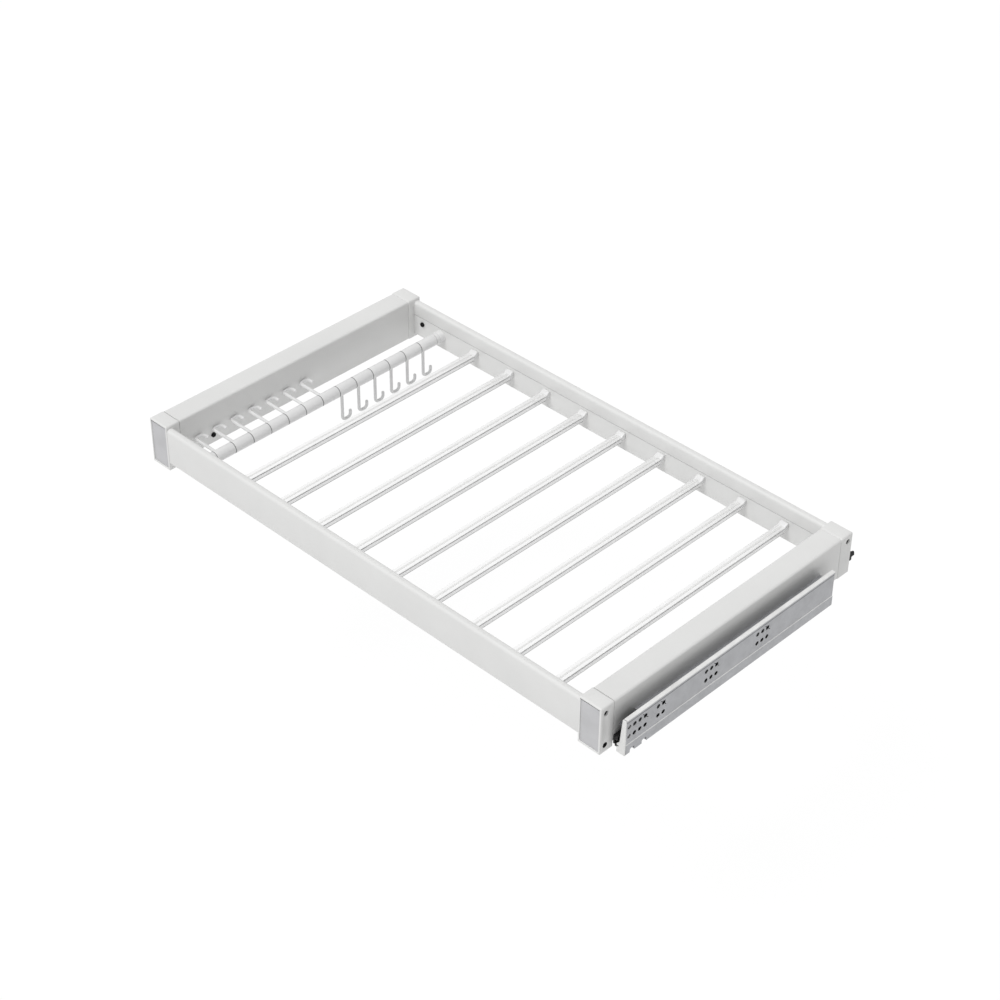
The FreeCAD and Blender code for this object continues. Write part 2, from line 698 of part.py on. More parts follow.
# ---- hook tube, sleeves and hooks --------------------------------------------------------
def hook_tube():
    """Round tube between the two beams."""
    start = band_front + d.clip_length / 2
    length = clear_depth - d.clip_length
    outside = cylinder("TubeOutside", "y", d.tube_radius, length, tube_place, start, axis_height)
    bore = cylinder("TubeBore", "y", d.tube_radius - d.tube_wall, length, tube_place, start,
                    axis_height)
    tube = subtract("hook_tube", outside, [bore])
    return place(tube)


def tube_holder(label, front):
    """Cup that carries one end of the hook tube on a beam."""
    body = new_body(label)
    inward = 1 if front else -1
    face = band_front if front else band_rear
    start = face if front else face - d.clip_length
    socket = start + d.clip_length / 2 if front else start
    rim = face + inward * d.clip_length
    pad(body, "XZ_Plane", [], start, d.clip_length, [(0, 0, d.cup_radius)])
    pocket(body, "XZ_Plane", [], socket, d.clip_length / 2, [(0, 0, d.tube_radius)])
    fillet(body, d.cup_edge, lambda edge: near(edge.BoundBox.YMin, rim)
           and near(edge.BoundBox.ZMax, d.cup_radius))
    return place(body, x=tube_place, z=axis_height)


def sleeve(name, start, end):
    """Sleeve that fills the tube between a cup and the nearest hook's hub."""
    outside = cylinder(name + "Outside", "y", d.hub_radius, end - start, tube_place, start,
                       axis_height)
    bore = cylinder(name + "Bore", "y", d.tube_radius, end - start, tube_place, start,
                    axis_height)
    return subtract(name, outside, [bore])


def hook(label, y, raised):
    """Long hub on the tube with a straight arm that ends in a round-cornered J."""
    body = new_body(label)
    bore = d.tube_radius + d.running_gap
    path = body.newObject("Sketcher::SketchObject", label + "Path")
    plane = [item for item in body.Origin.OriginFeatures if item.Role == "YZ_Plane"][0]
    path.AttachmentSupport = [(plane, "")]
    path.MapMode = "FlatFace"
    root = -(d.tube_radius + d.hub_radius) / 2
    floor = -(d.hook_reach - d.hook_wire)
    tip = -(d.hook_reach - d.hook_rise)
    bend = d.hook_bend
    mouth = d.hook_mouth
    lines = [((ZERO, root), (ZERO, floor + bend)), ((bend, floor), (mouth - bend, floor)),
             ((mouth, floor + bend), (mouth, tip))]
    for number, ends in enumerate(lines):
        (ax, az), (bx, bz) = ends
        path.addGeometry(Part.LineSegment(V(ax.value, az.value, 0), V(bx.value, bz.value, 0)),
                         False)
        bind_point(path, number, 1, "a%d" % number, ends[0])
        bind_point(path, number, 2, "b%d" % number, ends[1])
    for number, (cx, low, high) in enumerate(((bend, math.pi, 1.5 * math.pi),
                                              (mouth - bend, 1.5 * math.pi, 2 * math.pi))):
        circle = Part.Circle(V(cx.value, (floor + bend).value, 0), V(0, 0, 1), bend.value)
        path.addGeometry(Part.ArcOfCircle(circle, low, high), False)
        path.addConstraint(Sketcher.Constraint("Coincident", 3 + number, 1, number, 2))
        path.addConstraint(Sketcher.Constraint("Coincident", 3 + number, 2, number + 1, 1))
        bind_coordinate(path, 3 + number, 3, "k%d" % number, "x", cx)
    section = draw(body, "XY_Plane", [], [(0, 0, d.hook_wire)], root)
    pipe = body.newObject("PartDesign::AdditivePipe", label + "Pipe")
    pipe.Profile = section
    pipe.Spine = (path, [])
    pad(body, "XZ_Plane", [], -d.hub_lead, hub_length, [(0, 0, d.hub_radius)])
    pocket(body, "XZ_Plane", [], -d.hub_lead, hub_length, [(0, 0, bore)])
    turn = FreeCAD.Rotation(V(0, 1, 0), 90 if raised else 0)
    return place(body, x=tube_place, y=y, z=axis_height, turn=turn)


hook_tube()
tube_holder("tube_holder_front", True)
tube_holder("tube_holder_rear", False)
hub_length = hook_pitch - d.hub_gap
hook_places = [first_hook + hook_pitch * number for number in range(HOOK_COUNT)]
first_hub = hook_places[0] - d.hub_lead
last_hub_end = hook_places[-1] - d.hub_lead + hub_length
group("tube_sleeves", [
    sleeve("SleeveFront", band_front + d.clip_length, first_hub - d.hub_gap),
    sleeve("SleeveRear", last_hub_end + d.hub_gap, band_rear - d.clip_length),
])
for number, y in enumerate(hook_places, start=1):
    hook("hook_%d" % number, y, number <= RAISED_HOOKS)


# ---- telescopic slides -------------------------------------------------------------------
def section_loop(side, corners):
    """Turn (distance out from the block's face, height) corners into a section on one side."""
    return [(side * (half_width + out), height) for out, height in corners]


def cabinet_member(label, side):
    """Fixed channel with a top flange, an upper race, a bottom tray and fixing holes."""
    body = new_body(label)
    wide = d.slide_space
    wall = wide - d.slide_sheet
    low = slide_bottom
    top = low + d.slide_height
    sheet = d.slide_sheet
    flange = wide - d.flange_width
    corners = [
        (wide, low), (wide, top), (flange, top), (flange, top - sheet), (wall, top - sheet),
        (wall, upper_race + sheet), (flange, upper_race + sheet), (flange, upper_race),
        (wall, upper_race), (wall, low + sheet), (tray_edge + sheet, low + sheet),
        (tray_edge + sheet, low + sheet + d.tray_lip), (tray_edge, low + sheet + d.tray_lip),
        (tray_edge, low),
    ]
    pad(body, "XZ_Plane", [section_loop(side, corners)], slide_front, slide_length)
    row = slide_bottom + d.hole_rise
    holes = []
    for along, columns in HOLE_GROUPS:
        main = slide_front + d.first_fixing + d.fixing_pitch * along
        for column in range(columns):
            y = main - d.hole_pitch * column
            holes.append((y, row, d.hole_radius))
            holes.append((y, row + d.hole_row_gap, d.hole_radius))
    start = outward(side, wall, wide)
    pocket(body, "YZ_Plane", [], start, sheet, holes)
    notches = []
    for step in (0, 1):
        y = slide_front + d.notch_first + d.notch_pitch * step
        notches.append(rectangle(y, low, y + d.notch_width, low + d.notch_height))
    notch_depth = d.tray_width / 2
    pocket(body, "YZ_Plane", notches, outward(side, wide - notch_depth, wide), notch_depth)
    return place(body)


def mid_member(label, side):
    """Middle member: a web with flanges to both sides, one pair for each row of balls."""
    body = new_body(label)
    sheet = d.member_sheet
    inner = tray_edge
    outer = web_inner + d.mid_flange - d.member_sheet
    corners = [
        (inner, mid_bottom), (outer, mid_bottom), (outer, mid_bottom + sheet),
        (web_inner, mid_bottom + sheet), (web_inner, mid_top - sheet), (outer, mid_top - sheet),
        (outer, mid_top), (inner, mid_top), (inner, mid_top - sheet),
        (web_outer, mid_top - sheet), (web_outer, mid_bottom + sheet),
        (inner, mid_bottom + sheet),
    ]
    pad(body, "XZ_Plane", [section_loop(side, corners)], slide_front, member_rear - slide_front)
    return place(body)


def drawer_member(label, side):
    """Channel screwed to the side rail."""
    body = new_body(label)
    sheet = d.member_sheet
    web = rail_side + sheet
    corners = [
        (rail_side, drawer_bottom), (d.drawer_flange, drawer_bottom),
        (d.drawer_flange, drawer_bottom + sheet), (web, drawer_bottom + sheet),
        (web, drawer_top - sheet), (d.drawer_flange, drawer_top - sheet),
        (d.drawer_flange, drawer_top), (rail_side, drawer_top),
    ]
    pad(body, "XZ_Plane", [section_loop(side, corners)], drawer_front,
        member_rear - drawer_front)
    holes = [(y, drawer_middle, screw_hole) for y in slide_screw_places]
    pocket(body, "YZ_Plane", [], outward(side, rail_side, web), sheet, holes)
    return place(body)


def ball_cage(label, side, out, top_race, low_race):
    """Upper and lower retainer strip of one stage, with their balls."""
    pieces = []
    middle = side * (half_width + out)
    start = slide_front + d.cage_setback
    spacing = d.cage_length / BALLS_PER_ROW
    reach = d.ball_radius + d.ball_play
    for row, height in (("Top", top_race - reach), ("Low", low_race + reach)):
        centres = [start + spacing * (n + 0.5) for n in range(BALLS_PER_ROW)]
        strip = block(label + row + "Blank",
                      (middle - d.cage_width / 2 - d.member_sheet / 2, start,
                       height - d.cage_thickness / 2),
                      (d.cage_width + d.member_sheet, d.cage_length, d.cage_thickness))
        windows = [cylinder("%s%sWindow%d" % (label, row, n), "z",
                            d.ball_radius + 2 * d.ball_play, 2 * d.cage_thickness, middle, y,
                            height - d.cage_thickness)
                   for n, y in enumerate(centres)]
        pieces.append(subtract(label + row + "Strip", strip, windows))
        pieces.extend(ball("%s%sBall%d" % (label, row, n), d.ball_radius, middle, y, height)
                      for n, y in enumerate(centres))
    return group(label, pieces)


def slide_nose(label, side):
    """End cap of the middle member; its slot lets the drawer member's lower flange by."""
    body = new_body(label)
    top = slide_bottom + d.slide_height
    wide = d.slide_space
    flange = wide - d.flange_width
    shoulder = slide_bottom + d.tray_width
    waist = tray_edge + d.nose_shoulder
    slot_end = d.drawer_flange + d.nose_play
    slot_low = drawer_bottom - d.nose_play
    slot_high = drawer_bottom + d.member_sheet + d.nose_play
    corners = [(tray_edge, slide_bottom), (wide, slide_bottom), (wide, top), (flange, top),
               (waist, shoulder + d.nose_shoulder), (tray_edge, shoulder), (tray_edge, slot_high),
               (slot_end, slot_high), (slot_end, slot_low), (tray_edge, slot_low)]
    start = slide_front - d.nose_gap - d.nose_thickness
    pad(body, "XZ_Plane", [section_loop(side, corners)], start, d.nose_thickness)
    outer = web_inner + d.mid_flange - d.member_sheet
    gap = d.spigot_play
    plug = [(web_inner + gap, mid_bottom + d.member_sheet + gap),
            (outer, mid_bottom + d.member_sheet + gap),
            (outer, mid_top - d.member_sheet - gap),
            (web_inner + gap, mid_top - d.member_sheet - gap)]
    pad(body, "XZ_Plane", [section_loop(side, plug)], start + d.nose_thickness,
        d.nose_gap + d.nose_plug)
    return place(body)


for name, side in SIDES.items():
    cabinet_member("slide_cabinet_member_" + name, side)
    mid_member("slide_mid_member_" + name, side)
    drawer_member("slide_drawer_member_" + name, side)
    ball_cage("outer_ball_cage_" + name, side, d.slide_space - d.outer_race_offset,
              upper_race, slide_bottom + d.slide_sheet)
    ball_cage("inner_ball_cage_" + name, side, d.inner_race_offset,
              mid_top - d.member_sheet, mid_bottom + d.member_sheet)
    slide_nose("slide_nose_" + name, side)


# ---- front clips and release levers ------------------------------------------------------
def front_clip(label, side):
    """Clip on the rail behind the front block: plate, ledge, stud and the lever's pivot."""
    body = new_body(label)
    low = d.pivot_rise - 2 * d.pivot_radius
    plate = d.clip_plate - rail_side
    width = d.clip_block_width - rail_side
    start = outward(side, rail_side, d.clip_block_width)
    pad(body, "YZ_Plane", [rectangle(slide_front, low, clip_rear, d.clip_block_height)],
        outward(side, rail_side, d.clip_plate), plate)
    pad(body, "YZ_Plane", [rectangle(slide_front, clip_ledge, clip_rear,
                                     d.clip_block_height)], start, width)
    pad(body, "YZ_Plane", [], start, width,
        [(clip_rear - d.pivot_inset, d.pivot_rise, d.pivot_radius)])
    stud_end = rail_side - d.rail_wall
    pad(body, "YZ_Plane", [], outward(side, stud_end, rail_side), d.rail_wall,
        [(clip_stud, stud_height, d.pivot_radius)])
    return place(body)


def release_lever(label, side):
    """Finger lever that turns on the clip's pivot and is pushed up at its front."""
    body = new_body(label)
    pivot_y = clip_rear - d.pivot_inset
    eye = 2 * d.pivot_radius
    thick = 1.7 * d.pivot_radius
    low = d.pivot_rise - eye
    near_face = d.clip_plate + d.lever_gap
    width = d.clip_block_width - near_face
    start = outward(side, near_face, d.clip_block_width)
    arm_front = slide_front
    side_view = [(arm_front, low - thick), (arm_front + 2 * eye, low - thick),
                 (arm_front + 3 * eye, low), (pivot_y + eye, low),
                 (pivot_y + eye, d.pivot_rise + eye), (pivot_y - eye, d.pivot_rise + eye),
                 (pivot_y - 2 * eye, low + thick), (arm_front, low + thick)]
    pad(body, "YZ_Plane", [side_view], start, width)
    pocket(body, "YZ_Plane", [], start, width,
           [(pivot_y, d.pivot_rise, d.pivot_radius + d.running_gap)])
    return place(body)


for name, side in SIDES.items():
    front_clip("front_clip_" + name, side)
    release_lever("release_lever_" + name, side)


# ---- screws and rear hooks ---------------------------------------------------------------
def frame_screws():
    """Two screws along each rail's end, one across each block and one in each rear hook."""
    pieces = []
    for name, side in SIDES.items():
        for end, front in (("Front", True), ("Rear", False)):
            depth = d.inlay_recess + d.sink_depth if front else d.sink_depth
            y = depth if front else d.frame_depth - depth
            for level, z in (("Low", lower_rib), ("High", upper_rib)):
                pieces.append(screw("RailScrew%s%s%s" % (name, end, level), "y",
                                    (side * rail_middle, y, z), d.frame_screw_length,
                                    1 if front else -1))
            y = d.side_screw_inset if front else d.frame_depth - d.side_screw_inset
            x = side * (half_width - d.sink_depth)
            pieces.append(screw("BeamEndScrew%s%s" % (name, end), "x", (x, y, beam_port),
                                d.block_width + d.sink_depth, -side))
        pieces.append(screw("RearHookScrew" + name, "y",
                            (side * rear_screw_place, d.frame_depth + d.hook_plate,
                             rear_screw_height), d.blind_depth, -1))
    return group("frame_screws", pieces)


def beam_screws():
    """Screws through the beams' inner faces into the blocks' tongues."""
    pieces = []
    z = beam_bottom + d.beam_screw_rise
    depth = d.beam_thickness - d.band_recess - 2 * d.beam_wall
    for name, side in SIDES.items():
        x = side * (inner_face - d.beam_screw_inset)
        pieces.append(screw("BeamScrewFront" + name, "y", (x, band_front, z), depth, -1))
        pieces.append(screw("BeamScrewRear" + name, "y", (x, band_rear, z), depth, 1))
    return group("beam_screws", pieces)


def slide_screws():
    """One long bolt and two short screws hold each drawer member to its rail."""
    pieces = []
    for name, side in SIDES.items():
        inner = side * rail_inner_face
        length = rail_width + d.member_sheet
        pieces.append(screw("SlideBolt" + name, "x", (inner, slide_screw_places[0],
                                                      drawer_middle), length, side))
        outer = side * (half_width + rail_side + d.member_sheet)
        for number in (1, 2):
            pieces.append(screw("SlideScrew%s%d" % (name, number), "x",
                                (outer, slide_screw_places[number], drawer_middle),
                                2 * d.sink_depth, -side))
    return group("slide_screws", pieces)


def rear_hook(name, side):
    """Bent steel plate on the rear block with a prong that points backwards."""
    body = doc.addObject("PartDesign::Body", name)
    far = half_width - d.rear_hook_inset
    near_edge = far - d.rear_hook_width
    low_x = near_edge if side > 0 else -far
    low = d.foot_rise + d.rear_plate_rise
    high = low + d.rear_plate_tall
    pad(body, "XZ_Plane", [rectangle(low_x, low, low_x + d.rear_hook_width, high)],
        d.frame_depth, d.hook_plate)
    prong_x = far - d.hook_plate if side > 0 else -far
    start = d.frame_depth + d.hook_plate
    tall = d.rear_hook_tall
    waist = start + (rear_reach - start) / 2
    prong = [(start, high), (rear_reach - d.hook_plate, high - tall / 4),
             (rear_reach, high - tall / 2), (rear_reach, high - tall * 0.7),
             (waist, high - tall * 0.7), (waist, high - tall), (start, high - tall)]
    pad(body, "YZ_Plane", [prong], prong_x, d.hook_plate)
    pocket(body, "XZ_Plane", [], d.frame_depth, d.hook_plate,
           [(side * rear_screw_place, rear_screw_height, screw_hole)])
    return body


frame_screws()
beam_screws()
slide_screws()
group("rear_hooks", [rear_hook("RearHook" + name, side) for name, side in SIDES.items()])


# ---- checks and export -------------------------------------------------------------------
doc.recompute()
for thing in doc.Objects:
    if {"Invalid", "Error"} & set(thing.State):
        raise RuntimeError("%s did not build: %s" % (thing.Label, thing.State))
for feature, base in cuts_to_check:
    if feature.Shape.Volume > base.Shape.Volume - 0.1:
        raise RuntimeError("%s cuts nothing" % feature.Label)
for thing in finished:
    if thing.Shape.isNull() or not thing.Shape.isValid():
        raise RuntimeError("%s has no valid shape" % thing.Label)

os.makedirs("parts", exist_ok=True)
for thing in finished:
    thing.Shape.exportStep("parts/%s.step" % thing.Label)
print("%d sub-parts written" % len(finished))
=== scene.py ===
"""Pull-out trouser rack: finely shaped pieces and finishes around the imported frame.

Sizes are in millimetres. Heights are measured from the foot of the front corner blocks, depths
from their front faces and widths from the middle of the rack, as the drawing office would.
"""
import logging
import math
from collections.abc import Callable, Iterator, Sequence
from contextlib import contextmanager
from dataclasses import dataclass
from enum import Enum

import bmesh
import bpy
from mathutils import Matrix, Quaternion, Vector


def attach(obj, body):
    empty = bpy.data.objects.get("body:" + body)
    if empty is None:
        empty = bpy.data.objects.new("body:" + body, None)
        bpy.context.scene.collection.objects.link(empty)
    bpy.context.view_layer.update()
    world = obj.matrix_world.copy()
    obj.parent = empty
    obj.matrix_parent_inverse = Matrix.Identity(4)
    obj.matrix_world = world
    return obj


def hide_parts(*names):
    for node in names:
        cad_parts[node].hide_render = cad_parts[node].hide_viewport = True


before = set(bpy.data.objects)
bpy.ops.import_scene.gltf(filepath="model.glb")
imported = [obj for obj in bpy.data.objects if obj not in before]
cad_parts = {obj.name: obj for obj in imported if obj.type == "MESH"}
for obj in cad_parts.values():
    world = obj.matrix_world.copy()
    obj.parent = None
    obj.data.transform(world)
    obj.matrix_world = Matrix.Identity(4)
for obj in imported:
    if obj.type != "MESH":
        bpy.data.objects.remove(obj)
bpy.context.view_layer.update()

log = logging.getLogger("trouser_rack")

MM = 0.001
CENTRE_DEPTH = 241.5
CENTRE_HEIGHT = 24.35

# A test of an edge takes its two ends, and a test of a face its middle and its normal.
Test = Callable[[Vector, Vector], bool]
Piece = bpy.types.Object
Colour = tuple[float, float, float, float]
Pair = tuple[float, float]
WHITE: Colour = (1.0, 1.0, 1.0, 1.0)
NOISE_RANGE: Pair = (0.3, 0.7)  # where most of a noise's values lie


class Side(Enum):
    """The two sides of the rack, as seen from its front."""

    LEFT = -1
    RIGHT = 1

    @property
    def word(self) -> str:
        """The side's name in node names."""
        return self.name.lower()


class End(Enum):
    """The two ends of the rack in depth; the value is the way into the rack."""

    FRONT = 1
    REAR = -1

    @property
    def word(self) -> str:
        """The end's name in node names."""
        return self.name.lower()


class Body(Enum):
    """The moving bodies that new pieces ride on, apart from the numbered hooks."""

    CABINET = "cabinet_members"
    RACK = "rack"


class Slot(Enum):
    """The record's material slots."""

    WHITE_PLASTIC = "white_plastic"
    POWDER_WHITE = "powder_white"
    BAR_ALUMINIUM = "bar_aluminium"
    INLAY_GREY = "inlay_grey"
    GRIP_CLEAR = "grip_clear"
    TUBE_METAL = "tube_metal"
    ZINC_STEEL = "zinc_steel"
    BLACK_PLASTIC = "black_plastic"
    DARK_STEEL = "dark_steel"


# ---- the bench: what every piece is shaped with -------------------------------------------
def at(x: float, y: float, z: float) -> Vector:
    """Turn drawing millimetres into the frame's metres.

    Args:
        x: width from the rack's middle.
        y: depth from the front face of the front blocks.
        z: height from the foot of the front blocks.

    Returns:
        The point in the frame.
    """
    return Vector((x, y - CENTRE_DEPTH, z - CENTRE_HEIGHT)) * MM


def drawing(point: Vector) -> Vector:
    """Turn a point of the frame into drawing millimetres."""
    return point / MM + Vector((0, CENTRE_DEPTH, CENTRE_HEIGHT))


def near(value: float, wanted: float, slack: float = 0.02) -> bool:
    """Whether two sizes are the same within a little slack, in millimetres."""
    return abs(value - wanted) < slack


def srgb(red: int, green: int, blue: int) -> Colour:
    """Turn a display colour into the linear colour that a shader takes.

    Args:
        red: red, 0 to 255.
        green: green, 0 to 255.
        blue: blue, 0 to 255.

    Returns:
        Linear red, green, blue and an alpha of 1.
    """
    linear = []
    for level in (red, green, blue):
        share = level / 255
        linear.append(share / 12.92 if share <= 0.04045 else ((share + 0.055) / 1.055) ** 2.4)
    return linear[0], linear[1], linear[2], 1.0


def choose(*things: Piece) -> None:
    """Select only these objects and make the first one active.

    Args:
        things: the objects, at least one.
    """
    bpy.ops.object.select_all(action="DESELECT")
    for thing in things:
        thing.select_set(True)
    bpy.context.view_layer.objects.active = things[0]


@contextmanager
def editing(piece: Piece) -> Iterator[None]:
    """Work on a piece in edit mode, with nothing selected at the start.

    Args:
        piece: the piece to edit.
    """
    choose(piece)
    bpy.ops.object.mode_set(mode="EDIT")
    bpy.ops.mesh.select_all(action="DESELECT")
    yield
    bpy.ops.object.mode_set(mode="OBJECT")


def pick_faces(piece: Piece, test: Test) -> None:
    """Select the faces of the edited piece that a test accepts.

    Args:
        piece: the piece in edit mode.
        test: test of a face, in drawing millimetres.
    """
    bpy.ops.mesh.select_mode(type="FACE")
    bpy.ops.mesh.select_all(action="DESELECT")
    mesh = bmesh.from_edit_mesh(piece.data)
    for face in mesh.faces:
        if test(drawing(face.calc_center_median()), face.normal):
            face.select_set(True)
    bmesh.update_edit_mesh(piece.data)


def pick_edges(piece: Piece, test: Test) -> None:
    """Select the edges of the edited piece that a test accepts.

    Args:
        piece: the piece in edit mode.
        test: test of an edge, in drawing millimetres.
    """
    bpy.ops.mesh.select_mode(type="EDGE")
    bpy.ops.mesh.select_all(action="DESELECT")
    mesh = bmesh.from_edit_mesh(piece.data)
    for edge in mesh.edges:
        if test(drawing(edge.verts[0].co), drawing(edge.verts[1].co)):
            edge.select_set(True)
    bmesh.update_edit_mesh(piece.data)


def edges(way: str = "", **places: float) -> Test:
    """Make a test for edges from the way they run and the planes they lie in.

    Args:
        way: the axis that they run along, x, y or z, or nothing for any way.
        places: the planes that they lie in, as x, y or z in drawing millimetres.

    Returns:
        The test.
    """
    steady = [axis for axis in "xyz" if way and axis != way]

    def test(a: Vector, b: Vector) -> bool:
        """Whether an edge is one of those."""
        return (all(near(getattr(a, axis), getattr(b, axis)) for axis in steady)
                and all(near(getattr(end, axis), place)
                        for axis, place in places.items() for end in (a, b)))

    return test


def settle(piece: Piece, name: str) -> Piece:
    """Name a piece and put its place, turn and size into its mesh.

    Args:
        piece: the piece.
        name: its name.

    Returns:
        The same piece.
    """
    choose(piece)
    bpy.ops.object.transform_apply(location=True, rotation=True, scale=True)
    piece.name = name
    piece.data.name = name
    return piece


def start_block(name: str, low: Sequence[float], high: Sequence[float]) -> Piece:
    """Start a piece from a block between two corners.

    Args:
        name: the piece's name.
        low: lowest corner, drawing millimetres.
        high: highest corner, drawing millimetres.

    Returns:
        The new piece.
    """
    first, last = at(*low), at(*high)
    bpy.ops.mesh.primitive_cube_add(size=1.0, location=(first + last) / 2)
    piece = bpy.context.object
    piece.scale = last - first
    return settle(piece, name)


def start_rod(name: str, start: Sequence[float], end: Sequence[float], radius: float,
              sides: int = 32, open_ends: bool = False) -> Piece:
    """Start a piece from a round rod between two points.

    Args:
        name: the piece's name.
        start: middle of its first end, drawing millimetres.
        end: middle of its other end, drawing millimetres.
        radius: its radius in millimetres.
        sides: how many facets go round it.
        open_ends: leave the ends open.

    Returns:
        The new piece.
    """
    first, last = at(*start), at(*end)
    run = last - first
    bpy.ops.mesh.primitive_cylinder_add(
        vertices=sides, radius=radius * MM, depth=run.length, location=(first + last) / 2,
        rotation=run.to_track_quat("Z", "Y").to_euler(),
        end_fill_type="NOTHING" if open_ends else "NGON")
    return settle(bpy.context.object, name)


def start_section(name: str, outline: Sequence[Sequence[float]],
                  travel: Sequence[float]) -> Piece:
    """Trace an outline point by point, fill it and extrude it into a bar.

    Args:
        name: the piece's name.
        outline: corners of the section in order, drawing millimetres.
        travel: how far and which way the section is extruded, in millimetres.

    Returns:
        The new piece.
    """
    points = [at(*corner) for corner in outline]
    bpy.ops.mesh.primitive_plane_add(size=MM, location=points[0])
    piece = bpy.context.object
    with editing(piece):
        bpy.ops.mesh.select_mode(type="VERT")
        bpy.ops.mesh.select_all(action="SELECT")
        bpy.ops.mesh.merge(type="CENTER")
        for before, after in zip(points, points[1:]):
            bpy.ops.mesh.extrude_region_move(
                TRANSFORM_OT_translate={"value": after - before})
        bpy.ops.mesh.select_all(action="SELECT")
        bpy.ops.mesh.edge_face_add()
        bpy.ops.mesh.extrude_region_move(
            TRANSFORM_OT_translate={"value": Vector(travel) * MM})
        bpy.ops.mesh.select_all(action="SELECT")
        bpy.ops.mesh.normals_make_consistent(inside=False)
    return settle(piece, name)


def round_edges(piece: Piece, radius: float, test: Test, segments: int = 4) -> None:
    """Round the edges that a test accepts.

    Args:
        piece: the piece.
        radius: rounding in millimetres.
        test: test of an edge.
        segments: facets across the rounding.
    """
    with editing(piece):
        pick_edges(piece, test)
        bpy.ops.mesh.bevel(offset=radius * MM, segments=segments, affect="EDGES")


def round_unevenly(piece: Piece, radius: float, shares: Sequence[tuple[Test, float]],
                   segments: int = 5) -> None:
    """Round several groups of edges together, each by its own share of one radius.

    Args:
        piece: the piece.
        radius: the largest rounding in millimetres.
        shares: each a test of edges and the share of the radius that they get.
        segments: facets across the rounding.
    """
    with editing(piece):
        for test, share in shares:
            pick_edges(piece, test)
            bpy.ops.transform.edge_bevelweight(value=share)
    apply_modifier(piece, "BEVEL", width=radius * MM, segments=segments,
                   limit_method="WEIGHT")


def apply_modifier(piece: Piece, kind: str, **settings: object) -> None:
    """Add a modifier, set it and apply it.

    Args:
        piece: the piece.
        kind: the modifier's type.
        settings: its settings by name.
    """
    choose(piece)
    modifier = piece.modifiers.new(kind.title(), kind)
    for setting, value in settings.items():
        setattr(modifier, setting, value)
    bpy.ops.object.modifier_apply(modifier=modifier.name)


def break_edges(piece: Piece, width: float, segments: int = 2, sharper: float = 40) -> None:
    """Break every sharp edge of a piece with a narrow rounding.

    Args:
        piece: the piece.
        width: rounding in millimetres.
        segments: facets across the rounding.
        sharper: only edges sharper than this many degrees are rounded.
    """
    apply_modifier(piece, "BEVEL", width=width * MM, segments=segments,
                   limit_method="ANGLE", angle_limit=math.radians(sharper),
                   use_clamp_overlap=True)


def join(pieces: Sequence[Piece], name: str) -> Piece:
    """Join pieces into one object.

    Args:
        pieces: the pieces, at least one.
        name: the name of the result.

    Returns:
        The joined piece.
    """
    choose(*pieces)
    if len(pieces) > 1:
        bpy.ops.object.join()
    pieces[0].name = name
    pieces[0].data.name = name
    return pieces[0]


def combine(piece: Piece, others: Sequence[Piece], operation: str) -> None:
    """Cut other pieces out of a piece, or weld them to it, and remove them.

    Args:
        piece: the piece that stays.
        others: the pieces that are used up.
        operation: DIFFERENCE or UNION.
    """
    for other in others:
        apply_modifier(piece, "BOOLEAN", object=other, operation=operation, solver="EXACT")
        bpy.data.objects.remove(other)


def copy_of(piece: Piece, name: str, move: Sequence[float] = (0, 0, 0)) -> Piece:
    """Copy a piece with its own mesh and move the copy.

    Args:
        piece: the piece to copy.
        name: the copy's name.
        move: how far the copy moves, in millimetres.

    Returns:
        The copy.
    """
    choose(piece)
    bpy.ops.object.duplicate(linked=False)
    copy = bpy.context.object
    copy.location = Vector(move) * MM
    return settle(copy, name)


def turn_piece(piece: Piece, degrees: float, axis: str, about: Sequence[float]) -> Piece:
    """Turn a piece about a line along one axis through a point.

    Args:
        piece: the piece.
        degrees: the turn, by the right-hand rule.
        axis: X, Y or Z.
        about: a point on the line, drawing millimetres.

    Returns:
        The same piece.
    """
    pivot = at(*about)
    angles = {"X": (1, 0, 0), "Y": (0, 1, 0), "Z": (0, 0, 1)}[axis]
    piece.location = -pivot
    settle(piece, piece.name)
    piece.rotation_euler = [math.radians(degrees) * share for share in angles]
    settle(piece, piece.name)
    piece.location = pivot
    return settle(piece, piece.name)


